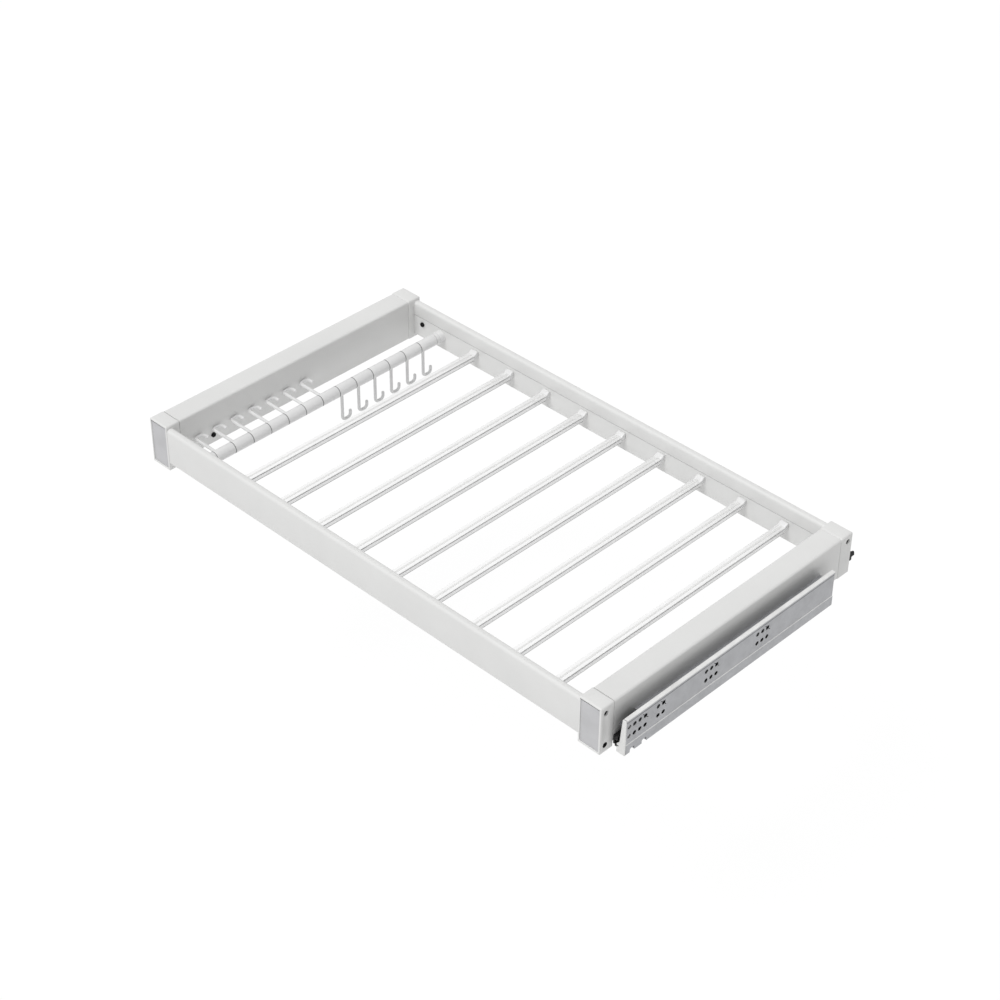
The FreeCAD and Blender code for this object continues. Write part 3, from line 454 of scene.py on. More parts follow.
# ---- finishes -----------------------------------------------------------------------------
class Surface:
    """A material that is being put together from nodes on Object coordinates."""

    def __init__(self, name: str) -> None:
        """Start a material with only its main shader.

        Args:
            name: the material's name.
        """
        self.material = bpy.data.materials.new(name)
        self.material.use_nodes = True
        self.nodes = self.material.node_tree.nodes
        self.links = self.material.node_tree.links
        self.shader = self.nodes["Principled BSDF"]
        self.place = self.nodes.new("ShaderNodeTexCoord").outputs["Object"]

    def set(self, **constants: object) -> None:
        """Set the shader's own sockets; an underscore stands for a space."""
        for name, value in constants.items():
            self.shader.inputs[name.replace("_", " ")].default_value = value

    def noise(self, grain: float, detail: float = 2.0,
              stretch: Sequence[float] = (1, 1, 1)) -> bpy.types.NodeSocket:
        """Add a noise whose blotches are about one grain across.

        Args:
            grain: size of a blotch in millimetres.
            detail: octaves of finer noise.
            stretch: scale along each axis; a small number draws the grain out.

        Returns:
            The noise's value.
        """
        mapping = self.nodes.new("ShaderNodeMapping")
        mapping.inputs["Scale"].default_value = stretch
        self.links.new(self.place, mapping.inputs["Vector"])
        noise = self.nodes.new("ShaderNodeTexNoise")
        noise.inputs["Scale"].default_value = 1 / (grain * MM)
        noise.inputs["Detail"].default_value = detail
        self.links.new(mapping.outputs["Vector"], noise.inputs["Vector"])
        return noise.outputs["Fac"]

    def cells(self, grain: float) -> bpy.types.NodeSocket:
        """Add flat irregular cells about one grain across, as in zinc spangle.

        Args:
            grain: size of a cell in millimetres.

        Returns:
            A random value for each cell.
        """
        voronoi = self.nodes.new("ShaderNodeTexVoronoi")
        voronoi.inputs["Scale"].default_value = 1 / (grain * MM)
        self.links.new(self.place, voronoi.inputs["Vector"])
        split = self.nodes.new("ShaderNodeSeparateColor")
        self.links.new(voronoi.outputs["Color"], split.inputs["Color"])
        return split.outputs["Red"]

    def spread(self, source: bpy.types.NodeSocket, low: float,
               high: float) -> bpy.types.NodeSocket:
        """Map a value from its usual middle range onto another range.

        Args:
            source: the value to map.
            low: result where the source is low.
            high: result where the source is high.

        Returns:
            The mapped value.
        """
        node = self.nodes.new("ShaderNodeMapRange")
        names = ("From Min", "From Max", "To Min", "To Max")
        for name, value in zip(names, (*NOISE_RANGE, low, high)):
            node.inputs[name].default_value = value
        self.links.new(source, node.inputs["Value"])
        return node.outputs["Result"]

    def vary_colour(self, source: bpy.types.NodeSocket, colour: Colour,
                    shades: Pair) -> None:
        """Run the base colour between two shades of one colour.

        Args:
            source: the value that varies it.
            colour: the colour.
            shades: factors of the colour where the value is low and where it is high.
        """
        ramp = self.nodes.new("ShaderNodeValToRGB")
        for element, place, factor in zip(ramp.color_ramp.elements, NOISE_RANGE, shades):
            element.position = place
            element.color = shade(colour, factor)
        self.links.new(source, ramp.inputs["Fac"])
        self.links.new(ramp.outputs["Color"], self.shader.inputs["Base Color"])

    def vary_roughness(self, source: bpy.types.NodeSocket, roughness: float,
                       patches: Pair) -> None:
        """Let the roughness differ from patch to patch.

        Args:
            source: the value that varies it.
            roughness: the usual roughness.
            patches: what is added to it where the value is low and where it is high.
        """
        low, high = (roughness + patch for patch in patches)
        self.links.new(self.spread(source, low, high), self.shader.inputs["Roughness"])

    def bump(self, *heights: tuple[bpy.types.NodeSocket, float]) -> None:
        """Stack bumps on the surface.

        Args:
            heights: each a value and its height in millimetres.
        """
        normal = None
        for source, height in heights:
            node = self.nodes.new("ShaderNodeBump")
            node.inputs["Distance"].default_value = height * MM
            node.inputs["Strength"].default_value = 1.0
            self.links.new(source, node.inputs["Height"])
            if normal is not None:
                self.links.new(normal, node.inputs["Normal"])
            normal = node.outputs["Normal"]
        self.links.new(normal, self.shader.inputs["Normal"])


def shade(colour: Colour, factor: float) -> Colour:
    """Make a colour darker or lighter by a factor."""
    return colour[0] * factor, colour[1] * factor, colour[2] * factor, 1.0


@dataclass(frozen=True)
class MouldedPlastic:
    """Injection-moulded plastic: a fine eroded texture over faint waves."""

    name: str
    colour: Colour
    roughness: float = 0.42
    patches: Pair = (-0.05, 0.07)
    clouds: float = 0.03
    cloud_grain: float = 38
    wave_grain: float = 9
    grain: float = 0.35
    depth: float = 0.012
    specular: float = 0.45

    def material(self) -> bpy.types.Material:
        """Build the material.

        Returns:
            The material.
        """
        surface = Surface(self.name)
        cloud = surface.noise(self.cloud_grain, detail=3)
        fine = surface.noise(self.grain, detail=3)
        surface.vary_colour(cloud, self.colour, (1 - self.clouds, 1 + self.clouds / 3))
        surface.vary_roughness(fine, self.roughness, self.patches)
        surface.bump((surface.noise(self.wave_grain), self.depth * 2), (fine, self.depth))
        surface.set(Specular_IOR_Level=self.specular)
        return surface.material


@dataclass(frozen=True)
class PowderCoat:
    """Powder coat on an aluminium extrusion: orange peel with fine specks."""

    name: str
    colour: Colour
    roughness: float = 0.38
    patches: Pair = (-0.04, 0.08)
    shades: Pair = (0.972, 1.008)
    cloud_grain: float = 60
    peel_grain: float = 1.1
    peel_depth: float = 0.010
    speck_grain: float = 0.22
    speck_depth: float = 0.0035
    specular: float = 0.5
    coat: float = 0.12
    coat_roughness: float = 0.22

    def material(self) -> bpy.types.Material:
        """Build the material.

        Returns:
            The material.
        """
        surface = Surface(self.name)
        cloud = surface.noise(self.cloud_grain, detail=3)
        peel = surface.noise(self.peel_grain)
        speck = surface.noise(self.speck_grain, detail=1)
        surface.vary_colour(cloud, self.colour, self.shades)
        surface.vary_roughness(speck, self.roughness, self.patches)
        surface.bump((peel, self.peel_depth), (speck, self.speck_depth))
        surface.set(Specular_IOR_Level=self.specular, Coat_Weight=self.coat,
                    Coat_Roughness=self.coat_roughness)
        return surface.material


@dataclass(frozen=True)
class SatinPlate:
    """Satin metallised plate with a fine upright brushing."""

    name: str
    colour: Colour
    metallic: float = 0.35
    roughness: float = 0.4
    patches: Pair = (-0.06, 0.06)
    shades: Pair = (0.93, 1.05)
    cloud_grain: float = 26
    brush_grain: float = 0.3
    brush_depth: float = 0.006

    def material(self) -> bpy.types.Material:
        """Build the material.

        Returns:
            The material.
        """
        surface = Surface(self.name)
        brushed = surface.noise(self.brush_grain, stretch=(1, 1, 0.03))
        cloud = surface.noise(self.cloud_grain)
        surface.vary_colour(cloud, self.colour, self.shades)
        surface.vary_roughness(brushed, self.roughness, self.patches)
        surface.bump((brushed, self.brush_depth))
        surface.set(Metallic=self.metallic)
        return surface.material


@dataclass(frozen=True)
class ZincSheet:
    """Cold-rolled zinc-plated sheet: streaks along the roll and a faint spangle."""

    name: str
    colour: Colour
    metallic: float = 0.85
    roughness: float = 0.38
    specular: float = 0.5
    patches: Pair = (-0.06, 0.08)
    shades: Pair = (0.90, 1.06)
    cloud_grain: float = 24
    streak_grain: float = 0.5
    streak_depth: float = 0.006
    spangle_grain: float = 3.2
    spangle_depth: float = 0.003

    def material(self) -> bpy.types.Material:
        """Build the material.

        Returns:
            The material.
        """
        surface = Surface(self.name)
        streak = surface.noise(self.streak_grain, detail=3, stretch=(1, 0.02, 1))
        spangle = surface.cells(self.spangle_grain)
        cloud = surface.noise(self.cloud_grain, detail=3)
        surface.vary_colour(cloud, self.colour, self.shades)
        surface.vary_roughness(spangle, self.roughness, self.patches)
        surface.bump((streak, self.streak_depth), (spangle, self.spangle_depth))
        surface.set(Metallic=self.metallic, Specular_IOR_Level=self.specular)
        return surface.material


@dataclass(frozen=True)
class BrightExtrusion:
    """Satin-anodised aluminium extrusion with fine die lines along its length."""

    name: str
    colour: Colour
    metallic: float = 0.3
    roughness: float = 0.3
    patches: Pair = (-0.04, 0.06)
    shades: Pair = (0.97, 1.0)
    cloud_grain: float = 45
    line_grain: float = 0.6
    line_depth: float = 0.003

    def material(self) -> bpy.types.Material:
        """Build the material.

        Returns:
            The material.
        """
        surface = Surface(self.name)
        lines = surface.noise(self.line_grain, stretch=(1, 0.01, 1))
        cloud = surface.noise(self.cloud_grain)
        surface.vary_colour(cloud, self.colour, self.shades)
        surface.vary_roughness(lines, self.roughness, self.patches)
        surface.bump((lines, self.line_depth))
        surface.set(Metallic=self.metallic)
        return surface.material


@dataclass(frozen=True)
class SoftStrip:
    """Matt translucent soft plastic, as on an anti-slip strip."""

    name: str
    colour: Colour
    roughness: float = 0.5
    patches: Pair = (0.0, 0.12)
    shades: Pair = (0.96, 1.0)
    cloud_grain: float = 20
    ripple_grain: float = 0.45
    ripple_depth: float = 0.012
    milkiness: float = 0.12
    light_depth: float = 2.0

    def material(self) -> bpy.types.Material:
        """Build the material.

        Returns:
            The material.
        """
        surface = Surface(self.name)
        ripple = surface.noise(self.ripple_grain, stretch=(1, 0.2, 1))
        cloud = surface.noise(self.cloud_grain)
        surface.vary_colour(cloud, self.colour, self.shades)
        surface.vary_roughness(ripple, self.roughness, self.patches)
        surface.bump((ripple, self.ripple_depth))
        surface.set(Subsurface_Weight=self.milkiness,
                    Subsurface_Radius=(self.light_depth * MM,) * 3)
        return surface.material


class Finishes:
    """Every finish of the rack, built once."""

    def __init__(self) -> None:
        """Build the materials."""
        self.powder = PowderCoat("white_powder_coat", srgb(225, 225, 224)).material()
        self.block = MouldedPlastic("white_corner_plastic", srgb(226, 226, 225)).material()
        self.clip = MouldedPlastic("bright_clip_plastic", srgb(228, 228, 228),
                                   roughness=0.35).material()
        self.hook = MouldedPlastic("grey_white_hook_plastic", srgb(227, 227, 227),
                                   roughness=0.36).material()
        # painted shade: a dark grey for the hub seams and the beam's groove, standing in for the
        # shade that falls in those gaps
        self.seam = MouldedPlastic("painted_seam_and_groove_shade", srgb(128, 128, 129)).material()
        self.bar = BrightExtrusion("bright_bar_aluminium", srgb(248, 248, 248)).material()
        # painted shade: a grey for the bars' down-facing faces, standing in for the shade under
        # them
        self.bar_underside_painted_shade = BrightExtrusion("painted_shade_bar_underside", srgb(168, 168, 168)).material()
        self.nose = MouldedPlastic("light_grey_cap_plastic", srgb(230, 230, 229)).material()
        self.black = MouldedPlastic("black_clip_plastic", srgb(28, 28, 29),
                                    roughness=0.45, clouds=0.2).material()
        self.inlay = SatinPlate("satin_grey_inlay", srgb(196, 196, 198)).material()
        self.grip = SoftStrip("soft_grip_strip", srgb(232, 232, 231)).material()
        self.tube = ZincSheet("satin_tube_metal", srgb(205, 205, 205), metallic=0.6).material()
        self.sheet = ZincSheet("zinc_slide_sheet", srgb(180, 181, 184),
                              metallic=0.25).material()
        # painted highlight: a near-white sheet for the slide's up-facing faces, standing in for
        # the light that falls on them
        self.bright_sheet = ZincSheet("painted_highlight_slide_tops", srgb(233, 233, 232),
                                      metallic=0.25).material()
        # painted shade: a dark sheet for the slide's hidden inner members and the fold line,
        # standing in for the shade inside the slide
        self.inner_sheet = ZincSheet("painted_shade_slide_steel", srgb(92, 93, 96),
                                     metallic=0.3).material()
        self.screw = ZincSheet("dark_screw_steel", srgb(24, 24, 25), metallic=0.3,
                               roughness=0.55, specular=0.15).material()


def dress(piece: Piece, material: bpy.types.Material, body: str, slot: Slot,
          stands_for: Sequence[str] = ()) -> Piece:
    """Give a finished piece its material and its body, and hide the nodes that it stands for.

    Args:
        piece: the piece.
        material: its finish.
        body: the moving body that it rides on.
        slot: the record's material slot; not used.
        stands_for: the nodes that it replaces.

    Returns:
        The same piece.
    """
    choose(piece)
    bpy.ops.object.shade_smooth_by_angle(angle=math.radians(32))
    piece.data.materials.clear()
    piece.data.materials.append(material)
    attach(piece, body)
    if stands_for:
        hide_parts(*stands_for)
    log.info("%s: %d faces", piece.name, len(piece.data.polygons))
    return piece


def finish_faces(piece: Piece, material: bpy.types.Material, wanted: Test) -> None:
    """Give some faces of a dressed piece another finish.

    Args:
        piece: the piece.
        material: the other finish.
        wanted: test of a face, in the frame's metres.
    """
    place = len(piece.data.materials)
    piece.data.materials.append(material)
    for face in piece.data.polygons:
        if wanted(face.center, face.normal):
            face.material_index = place


def dress_node(node: str, material: bpy.types.Material) -> None:
    """Give a node that stays as it is a finer material.

    Args:
        node: the node's name.
        material: its finish.
    """
    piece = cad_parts[node]
    for slot in piece.material_slots:
        slot.material = material
    log.info("%s keeps its own shape", node)


# ---- shared places ------------------------------------------------------------------------
@dataclass(frozen=True)
class Layout:
    """Sizes that several sub-assemblies share."""

    width: float = 824
    depth: float = 471
    block_width: float = 35
    block_depth: float = 23
    block_height: float = 71
    foot_rise: float = 7  # foot of the rear blocks; the front ones reach down to 0
    rail_width: float = 34
    rail_inset: float = 0.5  # how far the rails stay inside the blocks' outline
    beam_margin: float = 4.3  # how far the beams stay inside the rails' height
    band_face: float = 11.2  # how far in the lower band of a beam's inner face lies
    axis_height: float = 32.3
    tube_x: float = -322.4
    last_bar: float = 314.5
    bar_count: int = 9
    clip_length: float = 8
    upper_screw: float = 60
    head_radius: float = 3.6
    head_height: float = 2.4
    sink_depth: float = 4
    screw_inset: float = 9
    rail_screws: Pair = (28, 50)
    inlay_recess: float = 1.8
    hook_screw_x: float = 405
    hook_screw_z: float = 16
    hook_sheet: float = 1.5

    @property
    def half_width(self) -> float:
        """Outer face of a corner block."""
        return self.width / 2

    @property
    def inner_face(self) -> float:
        """Inner face of a corner block."""
        return self.half_width - self.block_width

    @property
    def rail_middle(self) -> float:
        """Middle of a side rail."""
        return self.half_width - self.block_width / 2

    @property
    def rail_low(self) -> float:
        """Underside of the side rails."""
        return self.foot_rise + self.rail_inset

    @property
    def rail_high(self) -> float:
        """Top of the side rails."""
        return self.block_height - self.rail_inset

    @property
    def clip_end(self) -> float:
        """How far in from the frame's ends the clips end and the bars start."""
        return self.band_face + self.clip_length

    @property
    def bar_places(self) -> list[float]:
        """Middle of each trouser bar."""
        pitch = (self.last_bar - self.tube_x) / self.bar_count
        return [self.tube_x + pitch * number for number in range(1, self.bar_count + 1)]

    def from_end(self, end: End, distance: float) -> float:
        """Depth of a place at a distance in from one end of the frame."""
        return distance if end is End.FRONT else self.depth - distance

    def rail_seat(self, end: End) -> float:
        """How far in from a block's end face the heads of its rail screws bear."""
        return self.sink_depth + (self.inlay_recess if end is End.FRONT else 0)


LAYOUT = Layout()


@dataclass
class SidePart:
    """What every sub-assembly on one side of the rack has."""

    side: Side
    finish: Finishes

    def out(self, distance: float) -> float:
        """Place across the rack, at a distance out from the corner block's face."""
        return self.side.value * (LAYOUT.half_width + distance)


# ---- screws -------------------------------------------------------------------------------
@dataclass(frozen=True)
class Screw:
    """A pan-head screw with a cross recess."""

    radius: float = LAYOUT.head_radius
    height: float = LAYOUT.head_height
    shank: float = 2.0
    tip: float = 0.8
    dome: float = 0.9
    recess_length: float = 3.6
    recess_width: float = 0.9
    recess_depth: float = 1.3

    def make(self, name: str, seat: Sequence[float], way: Sequence[float],
             length: float) -> Piece:
        """Model one screw.

        Args:
            name: the piece's name.
            seat: the middle of the face that its head bears on.
            way: unit direction in which its shank runs.
            length: the shank's length.

        Returns:
            The screw.
        """
        along = Vector(way)
        foot = Vector(seat)
        top = foot - along * self.height
        head = start_rod(name, tuple(foot), tuple(top), self.radius, sides=40)
        round_edges(head, self.dome,
                    lambda a, b: near((a - top).dot(along), 0) and near((b - top).dot(along), 0))
        slots = []
        axis = max(range(3), key=lambda index: abs(along[index]))
        others = [index for index in range(3) if index != axis]
        for long_way, short_way in (others, others[::-1]):
            half = Vector((0.0, 0.0, 0.0))
            half[axis] = self.recess_depth
            half[long_way] = self.recess_length / 2
            half[short_way] = self.recess_width / 2
            slots.append(start_block(name + "_slot", tuple(top - half), tuple(top + half)))
        combine(head, slots, "DIFFERENCE")
        shank = start_rod(name + "_shank", tuple(foot), tuple(foot + along * length),
                          self.shank, sides=16)
        round_edges(shank, self.tip,
                    lambda a, b: near((a - foot).dot(along), length)
                    and near((b - foot).dot(along), length), segments=2)
        return join([head, shank], name)


@dataclass
class Screws:
    """All the screws of the rack."""

    finish: Finishes
    screw: Screw = Screw()
    beam_inset: float = 17
    beam_height: float = 34.8
    bolt_depth: float = 78
    pitch: float = 150
    slide_height: float = 20.75
    slide_seat: float = 0.7
    rail_shank: float = 30
    side_shank: float = 39
    beam_shank: float = 7
    hook_shank: float = 14
    bolt_shank: float = 35.2
    slide_shank: float = 8

    def build(self) -> None:
        """Model every screw, then join and dress each group of them."""
        frame_set, beam_set, slide_set = [], [], []
        for side in Side:
            for end in End:
                frame_set.extend(self.block_screws(side, end))
                beam_set.append(self.beam_screw(side, end))
            frame_set.append(self.hook_screw(side))
            slide_set.extend(self.slide_screws(side))
        for name, group in (("frame_screws", frame_set), ("beam_screws", beam_set),
                            ("slide_screws", slide_set)):
            piece = join(group, name + "_crosshead")
            dress(piece, self.finish.screw, Body.RACK.value, Slot.DARK_STEEL, [name])

    def block_screws(self, side: Side, end: End) -> list[Piece]:
        """Model the screws of one block, two into its rail's end and one from its side.

        Args:
            side: the block's side of the rack.
            end: the block's end of the rack.

        Returns:
            The screws.
        """
        y = LAYOUT.from_end(end, LAYOUT.rail_seat(end))
        screws = [self.screw.make("rail_screw", (side.value * LAYOUT.rail_middle, y, z),
                                  (0, end.value, 0), self.rail_shank)
                  for z in LAYOUT.rail_screws]
        seat = (side.value * (LAYOUT.half_width - LAYOUT.sink_depth),
                LAYOUT.from_end(end, LAYOUT.screw_inset), LAYOUT.upper_screw)
        screws.append(self.screw.make("side_screw", seat, (-side.value, 0, 0),
                                      self.side_shank))
        return screws

    def beam_screw(self, side: Side, end: End) -> Piece:
        """Model the screw near one end of a beam.

        Args:
            side: the side of the rack.
            end: the beam's end of the rack.

        Returns:
            The screw.
        """
        seat = (side.value * (LAYOUT.inner_face - self.beam_inset),
                LAYOUT.from_end(end, LAYOUT.band_face), self.beam_height)
        return self.screw.make("beam_screw", seat, (0, -end.value, 0), self.beam_shank)

    def hook_screw(self, side: Side) -> Piece:
        """Model the screw that holds the steel plate on one rear block.

        Args:
            side: the side of the rack.

        Returns:
            The screw.
        """
        seat = (side.value * LAYOUT.hook_screw_x, LAYOUT.depth + LAYOUT.hook_sheet,
                LAYOUT.hook_screw_z)
        return self.screw.make("hook_screw", seat, (0, -1, 0), self.hook_shank)

    def slide_screws(self, side: Side) -> list[Piece]:
        """Model one slide's bolt through the rail and its screws into the rail.

        Args:
            side: the side of the rack.

        Returns:
            The bolt and the screws.
        """
        inner = side.value * (LAYOUT.rail_middle - LAYOUT.rail_width / 2)
        outer = side.value * (LAYOUT.half_width + self.slide_seat)
        screws = [self.screw.make("slide_bolt", (inner, self.bolt_depth, self.slide_height),
                                  (side.value, 0, 0), self.bolt_shank)]
        for step in (1, 2):
            seat = (outer, self.bolt_depth + self.pitch * step, self.slide_height)
            screws.append(self.screw.make("slide_screw", seat, (-side.value, 0, 0),
                                          self.slide_shank))
        return screws


# ---- frame --------------------------------------------------------------------------------
@dataclass
class SideRail(SidePart):
    """Deep extrusion between a front and a rear corner block."""

    seam: float = 0.4
    top_radius: float = 3.0
    foot_radius: float = 0.8

    def build(self) -> None:
        """Model and dress the rail."""
        middle = self.side.value * LAYOUT.rail_middle
        low, high = LAYOUT.rail_low, LAYOUT.rail_high
        start = LAYOUT.block_depth + self.seam
        piece = start_block("rail_extrusion_" + self.side.word,
                            (middle - LAYOUT.rail_width / 2, start, low),
                            (middle + LAYOUT.rail_width / 2, LAYOUT.depth - start, high))
        round_edges(piece, self.top_radius, edges("y", z=high), segments=7)
        round_edges(piece, self.foot_radius, edges("y", z=low), segments=3)
        dress(piece, self.finish.powder, Body.RACK.value, Slot.POWDER_WHITE,
              ["side_rail_" + self.side.word])


@dataclass
class Beam:
    """Thin tall extrusion across the rack, with a recessed lower band on its inner face."""

    end: End
    finish: Finishes
    setback: float = 1.0
    thickness: float = 11.0
    recess: float = 0.8
    band_top: float = 45.5
    top_radius: float = 4.5
    foot_radius: float = 0.8
    step_radius: float = 0.3
    groove: float = 0.9

    def build(self) -> None:
        """Model and dress the beam."""
        way = self.end.value
        outer = LAYOUT.from_end(self.end, self.setback)
        low = LAYOUT.rail_low + LAYOUT.beam_margin
        high = LAYOUT.rail_high - LAYOUT.beam_margin
        inner = outer + way * self.thickness
        band = inner - way * self.recess
        x = -LAYOUT.inner_face
        root = band - way * self.groove
        outline = [(x, outer, low), (x, band, low), (x, band, self.band_top - self.groove),
                   (x, root, self.band_top - self.groove / 2), (x, root, self.band_top),
                   (x, inner, self.band_top), (x, inner, high), (x, outer, high)]
        piece = start_section("beam_extrusion_" + self.end.word, outline,
                              (2 * LAYOUT.inner_face, 0, 0))
        round_edges(piece, self.top_radius, edges("x", z=high), segments=9)
        round_edges(piece, self.foot_radius, edges("x", z=low), segments=3)
        round_edges(piece, self.step_radius, edges(y=inner, z=self.band_top), segments=2)
        dress(piece, self.finish.powder, Body.RACK.value, Slot.POWDER_WHITE,
              [self.end.word + "_beam"])
        # painted shade: the groove's faces take the dark seam finish, standing in for the shade
        # inside the groove
        crease = at(0, 0, self.band_top - self.groove / 2).z
        finish_faces(piece, self.finish.seam, lambda middle, normal:
                     abs(middle.z - crease) < self.groove / 2 * MM)


@dataclass
class CornerBlock(SidePart):
    """Moulded corner that joins a rail and a beam."""

    end: End
    top_radius: float = 2.5
    upright_radius: float = 1.2
    foot_radius: float = 0.5
    fine_edge: float = 0.22
    rim: float = 2.6
    pocket_radius: float = 1.6
    plate: float = 1.1
    plate_gap: float = 0.2
    plate_radius: float = 1.4
    plate_edge: float = 0.2
    lower_hole: float = 10.5
    lower_hole_depth: float = 14
    hole_radius: float = 3.75

    def build(self) -> None:
        """Model and dress the block and, at the front, its inlay."""
        front = self.end is End.FRONT
        low_x, high_x = sorted((self.out(0), self.out(-LAYOUT.block_width)))
        low_y = 0 if front else LAYOUT.depth - LAYOUT.block_depth
        low_z = 0 if front else LAYOUT.foot_rise
        word = self.end.word + "_" + self.side.word
        piece = start_block("corner_" + word, (low_x, low_y, low_z),
                            (high_x, low_y + LAYOUT.block_depth, LAYOUT.block_height))
        round_unevenly(piece, self.top_radius, [
            (edges("z"), self.upright_radius / self.top_radius),
            (edges(z=LAYOUT.block_height), 1),
            (edges(z=low_z), self.foot_radius / self.top_radius)])
        if front:
            pocket = start_block("pocket", (low_x + self.rim, -1, self.rim),
                                 (high_x - self.rim, LAYOUT.inlay_recess,
                                  LAYOUT.block_height - self.rim))
            round_edges(pocket, self.pocket_radius, edges("y"), segments=5)
            combine(piece, [pocket], "DIFFERENCE")
        combine(piece, self.hole_cutters(), "DIFFERENCE")
        break_edges(piece, self.fine_edge, sharper=50)
        dress(piece, self.finish.block, Body.RACK.value, Slot.WHITE_PLASTIC,
              ["corner_block_" + word])
        if front:
            # painted shade: the lower blind hole's wall and floor take the black clip plastic,
            # standing in for the shade deep in the hole
            hole = at(0, LAYOUT.screw_inset, self.lower_hole)
            finish_faces(piece, self.finish.black, lambda middle, normal:
                         math.hypot(middle.y - hole.y, middle.z - hole.z)
                         < (self.hole_radius + 0.05) * MM)
            self.build_inlay(low_x, high_x)

    def hole_cutters(self) -> list[Piece]:
        """Model the cutters for the block's screw seats and its lower blind hole.

        Returns:
            The cutters.
        """
        y = LAYOUT.from_end(self.end, LAYOUT.screw_inset)
        holes = [(LAYOUT.upper_screw, LAYOUT.sink_depth)]
        if self.end is End.FRONT:
            holes.append((self.lower_hole, self.lower_hole_depth))
        cutters = [start_rod("side_seat", (self.out(1), y, z), (self.out(-depth), y, z),
                             self.hole_radius, sides=40) for z, depth in holes]
        x = self.side.value * LAYOUT.rail_middle
        outside = LAYOUT.from_end(self.end, -1)
        seat = LAYOUT.from_end(self.end, LAYOUT.rail_seat(self.end))
        for z in LAYOUT.rail_screws:
            cutters.append(start_rod("rail_seat", (x, outside, z), (x, seat, z),
                                     self.hole_radius, sides=40))
        return cutters

    def build_inlay(self, low_x: float, high_x: float) -> None:
        """Model and dress the plate in the block's front face.

        Args:
            low_x: the block's lower side.
            high_x: the block's upper side.
        """
        edge = self.rim + self.plate_gap
        floor = LAYOUT.inlay_recess
        plate = start_block("inlay_plate_" + self.side.word,
                            (low_x + edge, floor - self.plate, edge),
                            (high_x - edge, floor, LAYOUT.block_height - edge))
        round_edges(plate, self.plate_radius, edges("y"), segments=5)
        break_edges(plate, self.plate_edge)
        dress(plate, self.finish.inlay, Body.RACK.value, Slot.INLAY_GREY,
              ["front_inlay_" + self.side.word])


